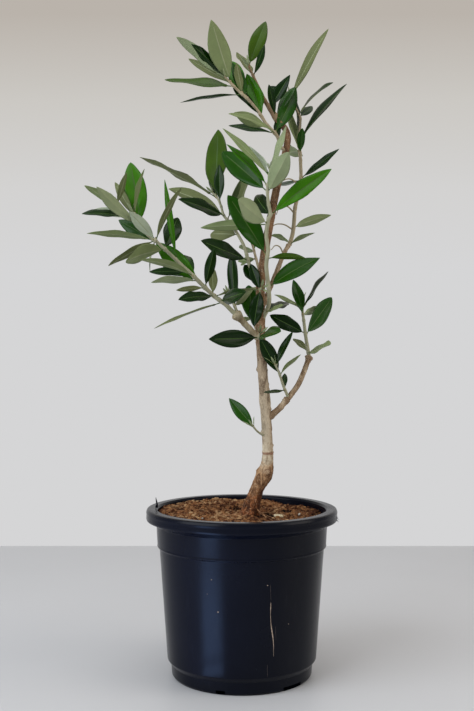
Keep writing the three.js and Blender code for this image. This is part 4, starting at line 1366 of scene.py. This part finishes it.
def grow(name, mass, leaf_looks, stem_looks):
    """One mass: its stems in one mesh and its leaves in another."""
    slots = {tone: place for place, tone in enumerate(leaf_looks)}
    stems, blades = Shells(), Shells()
    rng = random.Random(len(name) * NAME_SEED + len(mass["flushes"]))
    stem_slot = list(STEMS).index(mass["stem"])
    chains = chains_of(mass)
    nodes = []
    for flush, path, foot in itertools.chain(*chains):
        grown = []
        for values in (flush, *flush.get("finer", ())):
            leaves = leaves_of({**flush, **values}, path, foot)
            grown += zip(leaves, values["tones"].split())
        for leaf, tone in grown:
            blade(blades, leaf, tone, slots, rng)
            nodes.append(leaf["stem"])
            axil = leaf["stem"] + leaf["outward"] * leaf["radius"] * 0.8
            lean = unit(leaf["outward"] + 1.2 * tangent_at(path, 0.5))
            bud(stems, axil, lean, mix(1.5, 2.6, rng.random()))
            # the cushion that the leaf's stalk stands on
            cushion = [leaf["stem"], leaf["base"] + leaf["way"] * 0.6, leaf["base"] + leaf["way"] * 2.2]
            stems.add(*tube(cushion, [1.05, 1.0, 0.62], 9), stem_slot)
    for stalk in mass.get("stalks", ()):
        line = curve_at(stalk, np.linspace(0, 1, 16))
        stems.add(*tube(line, np.linspace(0.85, 0.4, 16), 8), stem_slot)
    for chain in chains:
        line, radii = stem_of(mass, chain, chain is chains[0])
        for node in nodes:
            radii = radii + 0.16 * bell(np.linalg.norm(line - node, axis=1), 0, 1.4)
        stems.add(*tube(line, radii + 0.06 * noise_at(line, 2.5), 12), stem_slot)
        way = unit(line[-1] - line[-3])
        bud(stems, line[-1], way, 3.2)
        last_tone = chain[-1][0]["tones"].split()[-1]
        tip_leaves(blades, line[-1], way, slots, rng, "silver" if last_tone == "silver" else "pale")
    blades.piece(name + "_blades", leaf_looks.values(), "foliage", name)
    stems.piece(name + "_twigs", stem_looks, "foliage")


def tip_leaves(blades, base, way, slots, rng, tone):
    """The youngest pairs at the end of a chain of flushes, small and nearly upright."""
    roll = rng.random() * math.pi
    for pair, size in ((0, 13), (1, 9)):
        for side in (0, 1):
            outward = side_of(way, roll + pair * math.pi / 2 + side * math.pi)
            heading = unit(way + outward * mix(0.35, 0.6, rng.random()))
            upper = unit(way - heading * np.dot(way, heading))
            length = size * mix(0.8, 1.2, rng.random())
            leaf = {
                "base": base - way * (1.5 - pair) + outward * 0.3, "way": heading, "upper": upper,
                "length": length, "width": length * 0.24, "curl": mix(-0.1, 0.15, rng.random()),
            }
            blade(blades, leaf, tone, slots, rng)


# ---------------------------------------------------------------- the object

bark_foot = bark_look("bark_foot", (142, 100, 66), (66, 42, 28), (186, 148, 112), 210, 0.0014)
bark_mid = bark_look("bark_mid", (160, 138, 112), (108, 84, 62), (190, 172, 146), 240, 0.0007)
bark_pale = bark_look("bark_pale", (168, 156, 130), (124, 108, 82), (192, 182, 156), 260, 0.0006)

plastic = pot_look()
make_pot([plastic])
make_scuffs([
    plastic,
    scuff_look("pot_scuff", (120, 104, 92), (206, 184, 166)),
    # Colour of the faint lines, which are partly wear and partly a painted warm reflection streak.
    scuff_look("pot_scuff_and_reflection", (42, 38, 38), (86, 76, 72)),
])
make_soil([soil_look("soil_mix", (34, 18, 10), (106, 66, 40), (168, 122, 80), 240)])
make_crumbs([
    soil_look("crumb_dark", (36, 18, 10), (78, 44, 26), (116, 72, 44), 500),
    soil_look("crumb_mid", (108, 70, 40), (142, 98, 62), (168, 126, 86), 500),
    soil_look("crumb_pale", (140, 104, 70), (172, 136, 98), (200, 168, 130), 500),
    # Very dark crumbs that paint the shade in the hollows.
    soil_look("crumb_pit_shade", (14, 8, 6), (32, 18, 12), (56, 34, 24), 500),
])
make_chips([
    soil_look("chip_pale", (176, 160, 128), (206, 192, 160), (226, 216, 188), 300),
    soil_look("stone_pale", (140, 138, 132), (172, 170, 162), (200, 198, 190), 300),
])
make_trunk([trunk_look()])
make_boughs([bark_mid, bark_pale])
make_surface_roots([bark_foot])
leaf_looks = leaf_materials()
stem_looks = [stem_look("stem_" + tone, *colours) for tone, colours in STEMS.items()]
for mass_name, mass in MASSES.items():
    grow(mass_name, mass, leaf_looks, stem_looks)

# ---------------------------------------------------------------- floor, light and camera


def sheet(name, corners, look):
    """A flat sheet of the studio."""
    mesh = mesh_of(name, corners, [(0, 1, 2, 3)])
    mesh.materials.append(look.made)
    placed(name, mesh)


def make_floor():
    near, far, side = -4.0, 0.645, 4.0
    look = Look("floor_pale", 0.45, Specular_IOR_Level=0.4)
    look.colour(dyed(look, srgb(202, 203, 206), 0.02, 3))
    sheet("floor", [(-side, near, 0), (side, near, 0), (side, far, 0), (-side, far, 0)], look)


# Painted light: the backdrop glows by itself, and its glow fades and warms upward as a painted fall-off of
# light.
WALL_GLOW_FADE = (0.6, 1.5)  # heights in metres between which the wall grows dim and warm
WALL_GLOW_TONES = (
    (0.0, (213, 213, 214)), (0.3, (211, 210, 209)), (0.62, (203, 200, 195)), (0.94, (186, 179, 171)),
)


def make_backdrop():
    """A pale wall far behind the plant that glows by itself, though it is no lamp, bright enough to show
    evenly, with painted light that grows dimmer and warmer higher up.
    """
    back, low, high, side = 2.3, -2.0, 3.0, 3.5
    look = Look("backdrop_glow", 1.0, Specular_IOR_Level=0.0, Base_Color=srgb(0, 0, 0), Emission_Strength=1.0)
    up = look.share(look.axis(look.where, "Z"), *WALL_GLOW_FADE)
    shade = look.ramp(up, *((place, srgb(*tone)) for place, tone in WALL_GLOW_TONES))
    look.feed(look.shader.inputs["Emission Color"], shade)
    corners = [(-side, back, low), (side, back, low), (side, back, high), (-side, back, high)]
    sheet("backdrop", corners, look)


def area_light(name, size, power, colour):
    data = bpy.data.lights.new(name, "AREA")
    data.shape = "RECTANGLE"
    data.size, data.size_y = size
    data.energy = power
    data.color = colour
    return placed(name, data)


def aimed_light(name, place, target, size, power, colour):
    """An area light that shines from its place to a target."""
    made = area_light(name, size, power, colour)
    made.location = place
    made.rotation_euler = (Vector(target) - Vector(place)).to_track_quat("-Z", "Y").to_euler()


SHINE_TURN = -45  # degrees round from the front: where the pot mirrors its bright stripe from
SHINE_SPREAD = 0.6  # width of the stripe's light over its distance
SHINE_GLOW = 5.6
SHINE_START = Vector((-0.028, -0.07, 0.002))
SHINE_STEPS = (0.02, 0.06, 0.12, 0.22, 0.36, 0.52)  # distances from the start where each light ends


def make_shine():
    """Low lights in front of the pot, seen by the pot alone, that draw the upright stripe on its side."""
    lit = bpy.data.collections.new("lit_by_shine")
    lit.objects.link(bpy.data.objects["pot_shell"])
    turn = math.radians(SHINE_TURN)
    for near, far in zip(SHINE_STEPS, SHINE_STEPS[1:]):
        wide = SHINE_SPREAD * (near + far) / 2
        size = (wide, far - near)
        made = area_light("shine", size, SHINE_GLOW * math.pi * wide * (far - near), (0.3, 0.5, 1.0))
        made.location = SHINE_START + Vector(outward_at(turn)) * (near + far) / 2
        made.rotation_euler = (math.pi, 0, math.pi - turn)
        made.visible_camera = False
        made.light_linking.receiver_collection = lit


def make_world():
    world = bpy.data.worlds.new("studio")
    world.use_nodes = True
    back = world.node_tree.nodes["Background"]
    back.inputs["Color"].default_value = srgb(208, 208, 209)
    back.inputs["Strength"].default_value = 0.55
    bpy.context.scene.world = world


CAMERA_PLACE = (-0.00477, -0.987, 0.3196)
CAMERA_DIP = 0.16  # degrees that it looks down


def make_camera():
    data = bpy.data.cameras.new("camera")
    data.lens = 50
    data.sensor_width = 36
    made = placed("camera", data)
    made.location = CAMERA_PLACE
    made.rotation_euler = (math.radians(90 - CAMERA_DIP), 0, 0)
    bpy.context.scene.camera = made


make_floor()
make_backdrop()
make_world()
aimed_light("window", (-1.3, -1.0, 1.05), (0, 0, 0.3), (1.5, 1.5), 26, (0.9, 0.95, 1.0))
aimed_light("lamp", (1.5, -0.5, 0.8), (0, 0, 0.2), (1.0, 1.0), 9, (1.0, 0.92, 0.82))
aimed_light("ceiling", (0.1, -0.2, 1.9), (0, 0, 0.3), (1.4, 1.4), 10, (1.0, 0.98, 0.95))
make_shine()
make_camera()
bpy.context.scene.view_settings.view_transform = "Standard"
